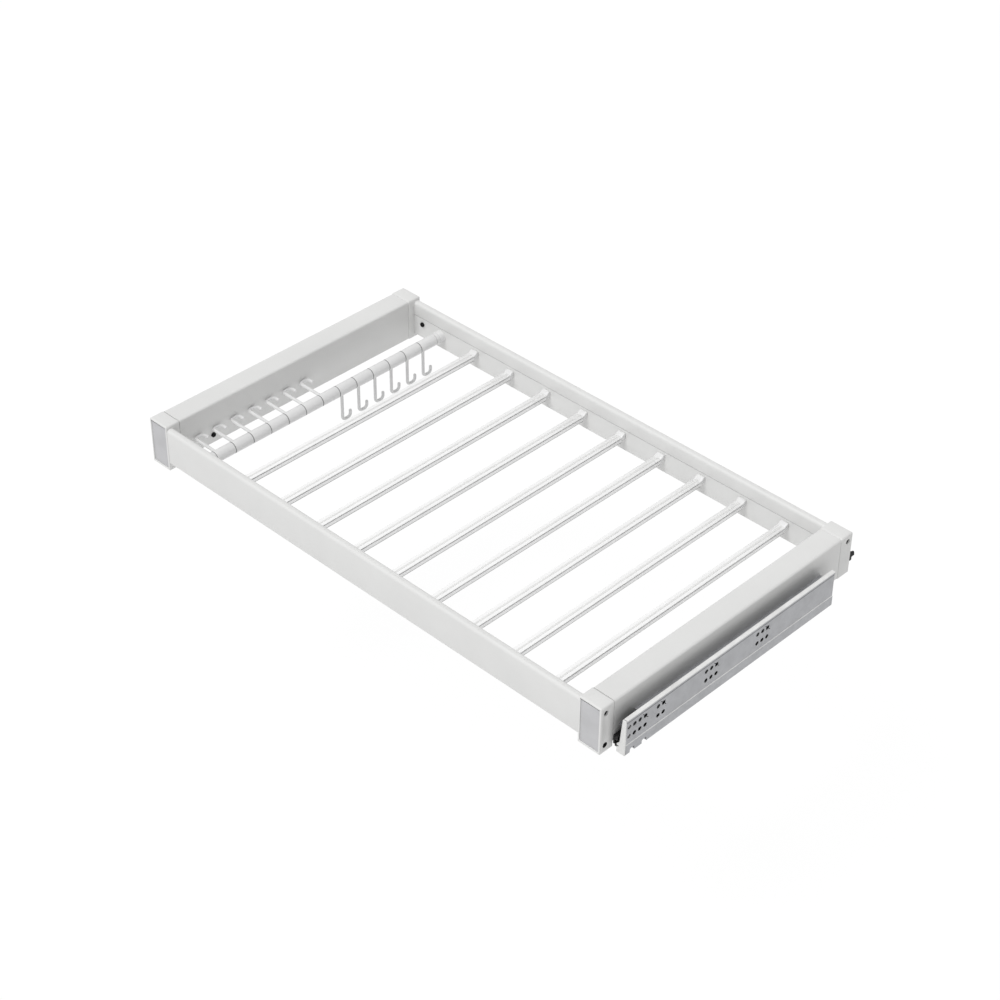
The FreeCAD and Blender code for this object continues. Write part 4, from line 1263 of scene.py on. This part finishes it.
# ---- trouser bars -------------------------------------------------------------------------
@dataclass
class TrouserBars:
    """Nine grooved bars with soft strips, and the clips that carry them."""

    finish: Finishes
    width: float = 12.4
    height: float = 9.6
    top_edge: float = 0.9
    foot_edge: float = 2.6
    fine_edge: float = 0.15
    groove_depth: float = 1.4
    groove_height: float = 1.2
    groove_rise: float = 3.1
    seat_width: float = 2.7
    seat_depth: float = 1.2
    strip_gap: float = 0.05
    strip_proud: float = 0.2
    clip_rise: float = 8.5
    clip_edge: float = 0.9

    def build(self) -> None:
        """Model one bar, strip and clip of each kind and copy them along the beams."""
        places = LAYOUT.bar_places
        pattern = self.make_bar()
        strips = []
        strip = self.make_strip()
        for number, x in enumerate(places, start=1):
            bar = copy_of(pattern, f"grooved_bar_{number}", (x, 0, 0))
            dress(bar, self.finish.bar, Body.RACK.value, Slot.BAR_ALUMINIUM,
                  [f"trouser_bar_{number}"])
            # painted shade: every down-facing face of the bar gets the grey underside finish
            finish_faces(bar, self.finish.bar_underside_painted_shade, lambda middle, normal: normal.z < -0.1)
            strips.append(copy_of(strip, "strip", (x, 0, 0)))
        dress(join(strips, "soft_strips"), self.finish.grip, Body.RACK.value, Slot.GRIP_CLEAR,
              ["bar_grip_strips"])
        for end in End:
            clip = self.make_clip(end)
            clips = [copy_of(clip, "clip", (x, 0, 0)) for x in places]
            dress(join(clips, "bar_clips_moulded_" + end.word), self.finish.clip,
                  Body.RACK.value, Slot.WHITE_PLASTIC, ["bar_clips_" + end.word])
            bpy.data.objects.remove(clip)
        for used in (pattern, strip):
            bpy.data.objects.remove(used)

    def make_bar(self) -> Piece:
        """Model the bar's extrusion at the rack's middle.

        Returns:
            The bar.
        """
        half, waist = self.width / 2, self.width / 2 - self.groove_depth
        middle = LAYOUT.axis_height
        low, high = middle - self.height / 2, middle + self.height / 2
        floor = middle + self.groove_rise - self.groove_height / 2
        roof = floor + self.groove_height
        start = LAYOUT.clip_end
        right = [(half, low), (half, floor), (waist, floor), (waist, roof), (half, roof),
                 (half, high), (self.seat_width / 2, high),
                 (self.seat_width / 2, high - self.seat_depth)]
        left = [(-x, z) for x, z in reversed(right)]
        outline = [(x, start, z) for x, z in right + left]
        bar = start_section("bar_pattern", outline,
                            (0, LAYOUT.depth - 2 * start, 0))
        for radius, x, z, segments in ((self.top_edge, half, high, 5),
                                       (self.foot_edge, half, low, 7)):
            left_edge, right_edge = edges("y", x=-x, z=z), edges("y", x=x, z=z)
            round_edges(bar, radius,
                        lambda a, b: left_edge(a, b) or right_edge(a, b), segments)
        break_edges(bar, self.fine_edge, sharper=60)
        return bar

    def make_strip(self) -> Piece:
        """Model the soft strip at the rack's middle.

        Returns:
            The strip.
        """
        half = self.seat_width / 2 - self.strip_gap
        start = LAYOUT.clip_end
        top = LAYOUT.axis_height + self.height / 2
        strip = start_block("strip_pattern", (-half, start, top - self.seat_depth),
                            (half, LAYOUT.depth - start, top + self.strip_proud))
        round_edges(strip, self.fine_edge, edges(z=top + self.strip_proud), segments=3)
        return strip

    def make_clip(self, end: End) -> Piece:
        """Model the clip of one end at the rack's middle.

        Args:
            end: the end of the rack.

        Returns:
            The clip.
        """
        face = LAYOUT.from_end(end, LAYOUT.band_face)
        ledge = LAYOUT.from_end(end, LAYOUT.band_face + LAYOUT.clip_length / 3)
        tip = LAYOUT.from_end(end, LAYOUT.clip_end)
        middle = LAYOUT.axis_height
        half = self.height / 2
        side_view = [(face, middle + self.clip_rise), (ledge, middle + self.clip_rise),
                     (tip, middle + half), (tip, middle - half + self.foot_edge),
                     (face, middle)]
        outline = [(-self.width / 2, depth, height) for depth, height in side_view]
        clip = start_section("clip_pattern", outline, (self.width, 0, 0))
        break_edges(clip, self.clip_edge, segments=4, sharper=15)
        return clip


# ---- hook tube and hooks ------------------------------------------------------------------
@dataclass
class HookTube:
    """Tube with a sleeve at each end, carried in a cup at each beam."""

    finish: Finishes
    first_hub: float
    last_hub_end: float
    radius: float = 5.0
    wall: float = 1.2
    sleeve_radius: float = 8.6
    cup_radius: float = 9.2
    gap: float = 0.35
    edge: float = 0.6
    cup_edge: float = 1.5

    def hollow_rod(self, name: str, start: float, end: float, radius: float,
                   wall: float) -> Piece:
        """Model a tube along the rack.

        Args:
            name: the piece's name.
            start: depth of its front end.
            end: depth of its rear end.
            radius: outer radius.
            wall: wall thickness.

        Returns:
            The tube.
        """
        x, z = LAYOUT.tube_x, LAYOUT.axis_height
        tube = start_rod(name, (x, start, z), (x, end, z), radius, sides=48, open_ends=True)
        apply_modifier(tube, "SOLIDIFY", thickness=wall * MM, offset=-1.0)
        break_edges(tube, self.edge, segments=3, sharper=50)
        return tube

    def build(self) -> None:
        """Model and dress the tube, its sleeves and its cups."""
        start, stop = LAYOUT.clip_end, LAYOUT.depth - LAYOUT.clip_end
        seat = LAYOUT.clip_length / 2
        tube = self.hollow_rod("tube_core", start - seat, stop + seat, self.radius, self.wall)
        dress(tube, self.finish.tube, Body.RACK.value, Slot.TUBE_METAL, ["hook_tube"])
        runs = ((start, self.first_hub - self.gap), (self.last_hub_end + self.gap, stop))
        sleeves = [self.hollow_rod("sleeve", front, rear, self.sleeve_radius,
                                   self.sleeve_radius - self.radius) for front, rear in runs]
        dress(join(sleeves, "end_sleeves"), self.finish.hook, Body.RACK.value,
              Slot.WHITE_PLASTIC, ["tube_sleeves"])
        for end in End:
            self.build_cup(end)

    def build_cup(self, end: End) -> None:
        """Model and dress the cup at one beam.

        Args:
            end: the end of the rack.
        """
        x, z = LAYOUT.tube_x, LAYOUT.axis_height
        face = LAYOUT.from_end(end, LAYOUT.band_face)
        seat = LAYOUT.from_end(end, LAYOUT.clip_end - LAYOUT.clip_length / 2)
        out = LAYOUT.from_end(end, LAYOUT.clip_end)
        cup = start_rod("cup_" + end.word, (x, face, z), (x, out, z), self.cup_radius, sides=48)
        round_edges(cup, self.cup_edge, edges(y=out), segments=5)
        bore = start_rod("socket", (x, out + end.value, z), (x, seat, z), self.radius,
                         sides=48)
        combine(cup, [bore], "DIFFERENCE")
        dress(cup, self.finish.clip, Body.RACK.value, Slot.WHITE_PLASTIC,
              ["tube_holder_" + end.word])


@dataclass
class SwivelHooks:
    """Round-armed hooks, each with a long hub that turns on the tube."""

    finish: Finishes
    count: int = 13
    raised: int = 7
    first_place: float = 44.4
    pitch: float = 31.6
    wire: float = 2.3
    bore: float = 5.05
    hub_radius: float = 8.6
    hub_lead: float = 9.5
    hub_length: float = 31.25
    hub_edge: float = 0.5
    hub_rim: float = 1.2
    reach: float = 54.6
    mouth: float = 14.8
    rise: float = 13.5
    bend: float = 5.5
    root: float = 6.8
    steps: int = 8
    # Each step of the rounded tip: its height, and its size next to the step below.
    tip: tuple[Pair, ...] = ((0.8, 0.93), (0.5, 0.82), (0.3, 0.62))

    def build(self) -> None:
        """Model one hanging hook, copy it to every place and swing up the front ones."""
        pattern = self.make_hook()
        for number in range(1, self.count + 1):
            y = self.place(number)
            hook = copy_of(pattern, f"swivel_hook_{number}_moulded",
                           (0, y - self.first_place, 0))
            if number <= self.raised:
                turn_piece(hook, 90, "Y", (LAYOUT.tube_x, y, LAYOUT.axis_height))
            dress(hook, self.finish.hook, f"swivel_hook_{number}", Slot.WHITE_PLASTIC,
                  [f"hook_{number}"])
            # painted shade: the hub's end rims and their roundings take the dark seam finish,
            # standing in for the shade between neighbouring hubs
            finish_faces(hook, self.finish.seam, self.on_hub_edge)
        bpy.data.objects.remove(pattern)

    def on_hub_edge(self, middle: Vector, normal: Vector) -> bool:
        """Whether a face is the rim of a hub's end or the rounded edge round it, which take the
        painted shade.

        Args:
            middle: the face's middle, in the frame's metres.
            normal: its normal.

        Returns:
            True if it is one of those.
        """
        axis = at(LAYOUT.tube_x, 0, LAYOUT.axis_height)
        off = math.hypot(middle.x - axis.x, middle.z - axis.z) / MM
        rim = self.hub_radius - self.hub_rim < off < self.hub_radius
        return rim and abs(normal.y) > 0.25

    def place(self, number: int) -> float:
        """Depth of a hook's arm, by the hook's number from the front."""
        return self.first_place + self.pitch * (number - 1)

    def hub_start(self, number: int) -> float:
        """Front end of the hub of one hook."""
        return self.place(number) - self.hub_lead

    def make_hook(self) -> Piece:
        """Model a hanging hook at the first place: arm, two bends, tip and hub.

        Returns:
            The hook.
        """
        x, y, z = LAYOUT.tube_x, self.first_place, LAYOUT.axis_height
        floor = z - self.reach + self.wire
        arm = start_rod("hook_pattern", (x, y, z - self.root), (x, y, floor + self.bend),
                        self.wire, sides=20)
        with editing(arm):
            pick_faces(arm, lambda middle, normal: normal.z < -0.9)
            self.spin(at(x, y + self.bend, floor + self.bend))
            self.extrude((0, self.mouth - 2 * self.bend, 0))
            self.spin(at(x, y + self.mouth - self.bend, floor + self.bend))
            tip_length = sum(lift for lift, size in self.tip)
            self.extrude((0, 0, self.rise - self.wire - self.bend - tip_length))
            for lift, size in self.tip:
                self.extrude((0, 0, lift))
                bpy.ops.transform.resize(
                    value=(size, size, 1),
                    center_override=at(x, y + self.mouth, floor))
        front = self.hub_start(1)
        hub = start_rod("hub", (x, front, z), (x, front + self.hub_length, z),
                        self.hub_radius, sides=48, open_ends=True)
        apply_modifier(hub, "SOLIDIFY", thickness=(self.hub_radius - self.bore) * MM,
                       offset=-1.0)
        break_edges(hub, self.hub_edge, segments=3, sharper=50)
        combine(arm, [hub], "UNION")
        return arm

    def spin(self, centre: Vector) -> None:
        """Sweep the selected end round a quarter bend towards the rear and up."""
        bpy.ops.mesh.spin(steps=self.steps, angle=math.radians(-90), center=centre,
                          axis=(1, 0, 0), dupli=False)

    @staticmethod
    def extrude(move: Sequence[float]) -> None:
        """Push the selected end on in a straight line, in millimetres."""
        bpy.ops.mesh.extrude_region_move(
            TRANSFORM_OT_translate={"value": Vector(move) * MM})


# ---- slides -------------------------------------------------------------------------------
@dataclass
class Slide(SidePart):
    """One telescopic slide: fixed member, end cap and the plain inner pieces."""

    space: float = 20.0  # from the blocks' face to the cabinet's wall
    bottom: float = -3.0
    height: float = 54.0
    sheet: float = 1.5
    flange: float = 5.6  # width of the top fold and of the ball track's ledge
    tray: float = 13.0  # width of the lower fold
    lip: float = 2.4  # how far the lower fold's inner edge stands up
    race: float = 43.0  # underside of the upper ball track
    front: float = 23.7
    rear: float = 412.0
    crease: float = 12.0  # height of the lower crease
    recess: float = 0.8  # how far the web steps in between its creases
    fold: float = 47.6  # height of the upper crease
    fold_line: float = 2.0  # height of the painted shade line under it
    corner_radius: float = 1.3
    fine_edge: float = 0.12
    hole_radius: float = 3.1
    hole_rows: Pair = (23.8, 38.0)
    hole_pitch: float = 9.4
    first_hole: float = 57.0
    group_step: float = 32.0
    # Each group: how many steps it lies behind the first hole, and its columns of holes.
    groups: tuple[tuple[int, int], ...] = ((0, 4), (1, 2), (4, 3), (7, 3))
    # Each slit: its turn in degrees and half of its length.
    crossed_slits: tuple[Pair, ...] = ((-45, 7.0), (45, 4.5))
    slit_width: float = 1.0
    notches: Pair = (30.7, 51.7)
    notch_length: float = 9.0
    notch_top: float = 3.5
    notch_radius: float = 2.2
    nose_front: float = 21.5
    nose_depth: float = 1.8
    nose_edge: float = 0.5
    shoulder: float = 4.1
    slot_low: float = 5.4
    slot_high: float = 7.6
    slot_end: float = 10.0
    plug_low: tuple[float, float, float] = (12.9, 23.0, 3.2)
    plug_high: tuple[float, float, float] = (16.9, 35.7, 38.4)

    def build(self) -> None:
        """Model and dress every piece of the slide."""
        self.build_fixed_member()
        self.build_nose()
        dress_node("slide_drawer_member_" + self.side.word, self.finish.sheet)
        # painted shade: the mid member and the ball cages get the dark sheet, so the holes in
        # the web read black
        for node in ("slide_mid_member_", "outer_ball_cage_", "inner_ball_cage_"):
            dress_node(node + self.side.word, self.finish.inner_sheet)

    def build_fixed_member(self) -> None:
        """Model and dress the rolled sheet that is screwed to the cabinet."""
        wide, low, sheet = self.space, self.bottom, self.sheet
        wall = wide - sheet
        top = low + self.height
        flange = wide - self.flange
        tray = wide - self.tray
        web = wide - self.recess
        section = [
            (wide, low), (wide, self.crease), (web, self.crease + self.recess),
            (web, self.fold - self.fold_line), (web, self.fold),
            (wide, self.fold + self.recess / 4),
            (wide, top), (flange, top), (flange, top - sheet),
            (wall, top - sheet), (wall, self.race + sheet), (flange, self.race + sheet),
            (flange, self.race), (wall, self.race), (wall, low + sheet),
            (tray + sheet, low + sheet), (tray + sheet, low + sheet + self.lip),
            (tray, low + sheet + self.lip), (tray, low)]
        outline = [(self.out(away), self.front, z) for away, z in section]
        piece = start_section("fixed_member_" + self.side.word, outline,
                              (0, self.rear - self.front, 0))
        foot_corner = edges("y", x=self.out(wide), z=low)
        top_corner = edges("y", x=self.out(wide), z=top)
        round_edges(piece, self.corner_radius,
                    lambda a, b: foot_corner(a, b) or top_corner(a, b), segments=5)
        combine(piece, self.hole_cutters() + self.notch_cutters(), "DIFFERENCE")
        break_edges(piece, self.fine_edge, segments=1, sharper=60)
        dress(piece, self.finish.sheet, Body.CABINET.value, Slot.ZINC_STEEL,
              ["slide_cabinet_member_" + self.side.word])
        # painted highlight: every up-facing face of the fixed member gets the lighter sheet
        finish_faces(piece, self.finish.bright_sheet, lambda middle, normal: normal.z > 0.35)
        # painted shade: the web's faces just under the fold get the dark sheet, standing in for
        # the fold's shadow
        line = at(0, 0, self.fold - self.fold_line / 2).z
        finish_faces(piece, self.finish.inner_sheet, lambda middle, normal:
                     abs(middle.z - line) < 0.4 * MM and normal.x * self.side.value > 0.9)

    def hole_cutters(self) -> list[Piece]:
        """Model the cutters for the groups of screw holes and the slits at each group.

        Returns:
            The cutters.
        """
        outer, inner = self.out(self.space + 1), self.out(self.space - self.sheet - 1)
        cutters = []
        for step, columns in self.groups:
            last = self.first_hole + self.group_step * step
            for column in range(columns):
                y = last - self.hole_pitch * column
                for z in self.hole_rows:
                    cutters.append(start_rod("hole", (outer, y, z), (inner, y, z),
                                             self.hole_radius))
            cutters.extend(self.slits(last, self.hole_rows[1]))
        return cutters

    def notch_cutters(self) -> list[Piece]:
        """Model the cutters for the round-topped notches in the lower edge.

        Returns:
            The cutters.
        """
        ends = sorted((self.out(self.space + 1), self.out(self.space - self.tray / 2)))
        cutters = []
        for y in self.notches:
            notch = start_block("notch", (ends[0], y, self.bottom - 1),
                                (ends[1], y + self.notch_length, self.notch_top))
            round_edges(notch, self.notch_radius, edges("x", z=self.notch_top), segments=5)
            cutters.append(notch)
        return cutters

    def slits(self, y: float, z: float) -> list[Piece]:
        """Model the cutters for the crossed slits through the last hole of a group.

        Args:
            y: depth of the hole.
            z: height of the hole.

        Returns:
            The cutters.
        """
        ends = sorted((self.out(self.space + 1), self.out(self.space - self.sheet - 1)))
        cutters = []
        rise = self.slit_width / 2
        for turn, half in self.crossed_slits:
            slit = start_block("slit", (ends[0], y - half, z - rise),
                               (ends[1], y + half, z + rise))
            cutters.append(turn_piece(slit, turn, "X", (0, y, z)))
        return cutters

    def build_nose(self) -> None:
        """Model and dress the plastic cap on the middle member's front end."""
        wide, low = self.space, self.bottom
        top = low + self.height
        edge = wide - self.tray
        section = [(edge, low), (wide, low), (wide, top), (wide - self.flange, top),
                   (edge + self.shoulder, low + self.tray + self.shoulder),
                   (edge, low + self.tray), (edge, self.slot_high),
                   (self.slot_end, self.slot_high), (self.slot_end, self.slot_low),
                   (edge, self.slot_low)]
        outline = [(self.out(away), self.nose_front, z) for away, z in section]
        cap = start_section("end_cap_" + self.side.word, outline, (0, self.nose_depth, 0))
        break_edges(cap, self.nose_edge, segments=3, sharper=20)
        ends = sorted((self.out(self.plug_low[0]), self.out(self.plug_high[0])))
        plug = start_block("plug", (ends[0], *self.plug_low[1:]),
                           (ends[1], *self.plug_high[1:]))
        combine(cap, [plug], "UNION")
        dress(cap, self.finish.nose, "mid_member_" + self.side.word, Slot.WHITE_PLASTIC,
              ["slide_nose_" + self.side.word])


# ---- clips, levers and rear hooks ---------------------------------------------------------
@dataclass
class FrontClip(SidePart):
    """Black clip on the rail, and the finger lever that turns on its pin."""

    front: float = 23.7
    rear: float = 58.7
    top: float = 17.0
    ledge: float = 10.7
    low: float = 3.7
    plate: float = 1.8
    width: float = 6.5
    pivot_depth: float = 52.7
    pivot_height: float = 6.5
    pivot_radius: float = 1.4
    pivot_gap: float = 0.05
    stud_depth: float = 41.2
    stud_height: float = 13.85
    stud_root: float = 1.8
    eye: float = 2.8
    finger: float = 2.38
    lever_gap: float = 0.4
    clip_edge: float = 0.5
    lever_edge: float = 0.45

    def build(self) -> None:
        """Model and dress the clip and its lever."""
        face = -LAYOUT.rail_inset
        section = [(face, self.low), (self.plate, self.low), (self.plate, self.ledge),
                   (self.width, self.ledge), (self.width, self.top), (face, self.top)]
        outline = [(self.out(away), self.front, z) for away, z in section]
        clip = start_section("clip_body_" + self.side.word, outline,
                             (0, self.rear - self.front, 0))
        break_edges(clip, self.clip_edge, segments=3)
        pivot = (self.pivot_depth, self.pivot_height)
        pin = start_rod("pin", (self.out(face), *pivot), (self.out(self.width), *pivot),
                        self.pivot_radius)
        middle = (self.stud_depth, self.stud_height)
        stud = start_rod("stud", (self.out(face - self.stud_root), *middle),
                         (self.out(self.plate), *middle), self.pivot_radius, sides=24)
        combine(clip, [pin, stud], "UNION")
        dress(clip, self.finish.black, Body.RACK.value, Slot.BLACK_PLASTIC,
              ["front_clip_" + self.side.word])
        self.build_lever()

    def build_lever(self) -> None:
        """Model and dress the finger lever."""
        y, z, eye = self.pivot_depth, self.pivot_height, self.eye
        low = z - eye
        foot, top = low - self.finger, low + self.finger
        side_view = [(self.front, foot), (self.front + 2 * eye, foot),
                     (self.front + 3 * eye, low), (y + eye, low), (y + eye, z + eye),
                     (y - eye, z + eye), (y - 2 * eye, top), (self.front, top)]
        near_face = self.plate + self.lever_gap
        outline = [(self.out(near_face), depth, height) for depth, height in side_view]
        lever = start_section("lever_arm_" + self.side.word, outline,
                              (self.side.value * (self.width - near_face), 0, 0))
        break_edges(lever, self.lever_edge, segments=3, sharper=20)
        bore = start_rod("bore", (self.out(near_face - 1), y, z),
                         (self.out(self.width + 1), y, z),
                         self.pivot_radius + self.pivot_gap)
        combine(lever, [bore], "DIFFERENCE")
        dress(lever, self.finish.black, "lever_" + self.side.word, Slot.BLACK_PLASTIC,
              ["release_lever_" + self.side.word])


@dataclass
class RearHooks:
    """Bent steel plates on the rear blocks, each with a prong that points backwards."""

    finish: Finishes
    inset: float = 2.0
    width: float = 10.0
    low: float = 9.0
    high: float = 37.0
    prong: float = 16.0
    prong_tip: float = 11.2
    reach: float = 12.0
    overlap: float = 0.2
    hole_radius: float = 2.15
    edge: float = 0.4

    def build(self) -> None:
        """Model both plates and dress them as one piece."""
        plates = [self.make_plate(side) for side in Side]
        dress(join(plates, "rear_hook_plates"), self.finish.screw, Body.RACK.value,
              Slot.DARK_STEEL, ["rear_hooks"])

    def make_plate(self, side: Side) -> Piece:
        """Model the plate of one side with its prong and its screw hole.

        Args:
            side: the side of the rack.

        Returns:
            The plate.
        """
        back, top, sheet = LAYOUT.depth, self.high, LAYOUT.hook_sheet
        far = side.value * (LAYOUT.half_width - self.inset)
        ends = sorted((far, far - side.value * self.width))
        plate = start_block("rear_plate", (ends[0], back, self.low),
                            (ends[1], back + sheet, top))
        start, end = back + self.overlap, back + self.reach
        waist = (back + sheet + end) / 2
        side_view = [(start, top), (end - sheet, top - self.prong / 4),
                     (end, top - self.prong / 2), (end, top - self.prong_tip),
                     (waist, top - self.prong_tip), (waist, top - self.prong),
                     (start, top - self.prong)]
        prong = start_section("prong", [(far, depth, height) for depth, height in side_view],
                              (-side.value * sheet, 0, 0))
        combine(plate, [prong], "UNION")
        x, z = side.value * LAYOUT.hook_screw_x, LAYOUT.hook_screw_z
        hole = start_rod("hole", (x, back - 1, z), (x, back + 2 * sheet, z),
                         self.hole_radius, sides=24)
        combine(plate, [hole], "DIFFERENCE")
        break_edges(plate, self.edge, segments=3, sharper=50)
        return plate


# ---- studio -------------------------------------------------------------------------------
@dataclass
class Studio:
    """Camera, lamps, floor and surroundings."""

    lens: float = 82.08
    sensor: float = 36.0
    eye: tuple[float, float, float] = (1676.9, -1473.9, 1835.1)
    look: tuple[float, float, float] = (-0.5557, 0.5727, -0.6027)
    roll: float = 0.59
    near_clip: float = 0.05
    far_clip: float = 60.0
    floor_depth: float = 240.0
    floor_drop: float = 420.0
    floor_size: float = 14.0
    floor_glow: float = 1.03
    floor_share: float = 0.9
    floor_roughness: float = 0.9
    sky: float = 0.55
    key_power: float = 1.6
    key_way: tuple[float, float, float] = (0.1, 0.5, -0.85)
    key_softness: float = 24.0

    def build(self) -> None:
        """Set up everything that isn't the rack."""
        self.build_camera()
        self.build_lamp()
        self.build_world()
        self.build_floor()
        bpy.context.scene.view_settings.view_transform = "Standard"

    def build_camera(self) -> None:
        """Place the camera."""
        bpy.ops.object.camera_add(location=at(*self.eye))
        camera = bpy.context.object
        camera.data.sensor_width = self.sensor
        camera.data.lens = self.lens
        camera.data.clip_start = self.near_clip
        camera.data.clip_end = self.far_clip
        turn = Vector(self.look).to_track_quat("-Z", "Y").to_matrix()
        spin = Quaternion(Vector((0, 0, 1)), math.radians(self.roll))
        camera.rotation_mode = "QUATERNION"
        camera.rotation_quaternion = turn.to_quaternion() @ spin
        bpy.context.scene.camera = camera

    def build_lamp(self) -> None:
        """Hang one very soft main light."""
        bpy.ops.object.light_add(type="SUN", location=(0, 0, 3))
        lamp = bpy.context.object
        lamp.data.energy = self.key_power
        lamp.data.angle = math.radians(self.key_softness)
        lamp.rotation_euler = Vector(self.key_way).to_track_quat("-Z", "Y").to_euler()

    @staticmethod
    def seen_directly(tree: bpy.types.NodeTree) -> bpy.types.NodeSocket:
        """Tell rays that reach the camera, also by a mirror or through glass, from the others.

        Args:
            tree: the node tree to add the nodes to.

        Returns:
            1 for such a ray and 0 for the others.
        """
        path = tree.nodes.new("ShaderNodeLightPath")
        seen = path.outputs["Is Camera Ray"]
        for kind in ("Is Glossy Ray", "Is Transmission Ray"):
            either = tree.nodes.new("ShaderNodeMath")
            either.operation = "MAXIMUM"
            tree.links.new(seen, either.inputs[0])
            tree.links.new(path.outputs[kind], either.inputs[1])
            seen = either.outputs["Value"]
        return seen

    def build_world(self) -> None:
        """Light evenly from all round, and show white to the camera and in reflections."""
        world = bpy.data.worlds.new("studio")
        world.use_nodes = True
        bpy.context.scene.world = world
        nodes, links = world.node_tree.nodes, world.node_tree.links
        fill = nodes["Background"]
        fill.inputs["Color"].default_value = WHITE
        fill.inputs["Strength"].default_value = self.sky
        white = nodes.new("ShaderNodeBackground")
        white.inputs["Color"].default_value = WHITE
        white.inputs["Strength"].default_value = 1.0
        mix = nodes.new("ShaderNodeMixShader")
        links.new(self.seen_directly(world.node_tree), mix.inputs["Fac"])
        links.new(fill.outputs["Background"], mix.inputs[1])
        links.new(white.outputs["Background"], mix.inputs[2])
        links.new(mix.outputs["Shader"], nodes["World Output"].inputs["Surface"])

    def build_floor(self) -> None:
        """Lay a plain pale floor that the camera sees as almost white."""
        bpy.ops.mesh.primitive_plane_add(size=self.floor_size,
                                         location=at(0, self.floor_depth, -self.floor_drop))
        floor = bpy.context.object
        floor.name = "studio_floor"
        material = bpy.data.materials.new("pale_floor")
        material.use_nodes = True
        nodes, links = material.node_tree.nodes, material.node_tree.links
        shader = nodes["Principled BSDF"]
        shader.inputs["Base Color"].default_value = srgb(240, 240, 240)
        shader.inputs["Roughness"].default_value = self.floor_roughness
        white = nodes.new("ShaderNodeEmission")
        white.inputs["Color"].default_value = WHITE
        white.inputs["Strength"].default_value = self.floor_glow
        mix = nodes.new("ShaderNodeMixShader")
        scale = nodes.new("ShaderNodeMath")
        scale.operation = "MULTIPLY"
        scale.inputs[1].default_value = self.floor_share
        links.new(self.seen_directly(material.node_tree), scale.inputs[0])
        links.new(scale.outputs["Value"], mix.inputs["Fac"])
        links.new(shader.outputs["BSDF"], mix.inputs[1])
        links.new(white.outputs["Emission"], mix.inputs[2])
        links.new(mix.outputs["Shader"], nodes["Material Output"].inputs["Surface"])
        floor.data.materials.append(material)


def main() -> None:
    """Build the rack's pieces in order, then the studio."""
    logging.basicConfig(level=logging.INFO, format="%(name)s: %(message)s")
    finish = Finishes()
    for side in Side:
        SideRail(side, finish).build()
        for end in End:
            CornerBlock(side, finish, end).build()
        Slide(side, finish).build()
        FrontClip(side, finish).build()
    for end in End:
        Beam(end, finish).build()
    TrouserBars(finish).build()
    hooks = SwivelHooks(finish)
    last_hub_end = hooks.hub_start(hooks.count) + hooks.hub_length
    HookTube(finish, hooks.hub_start(1), last_hub_end).build()
    hooks.build()
    Screws(finish).build()
    RearHooks(finish).build()
    Studio().build()


if __name__ == "__main__":
    main()
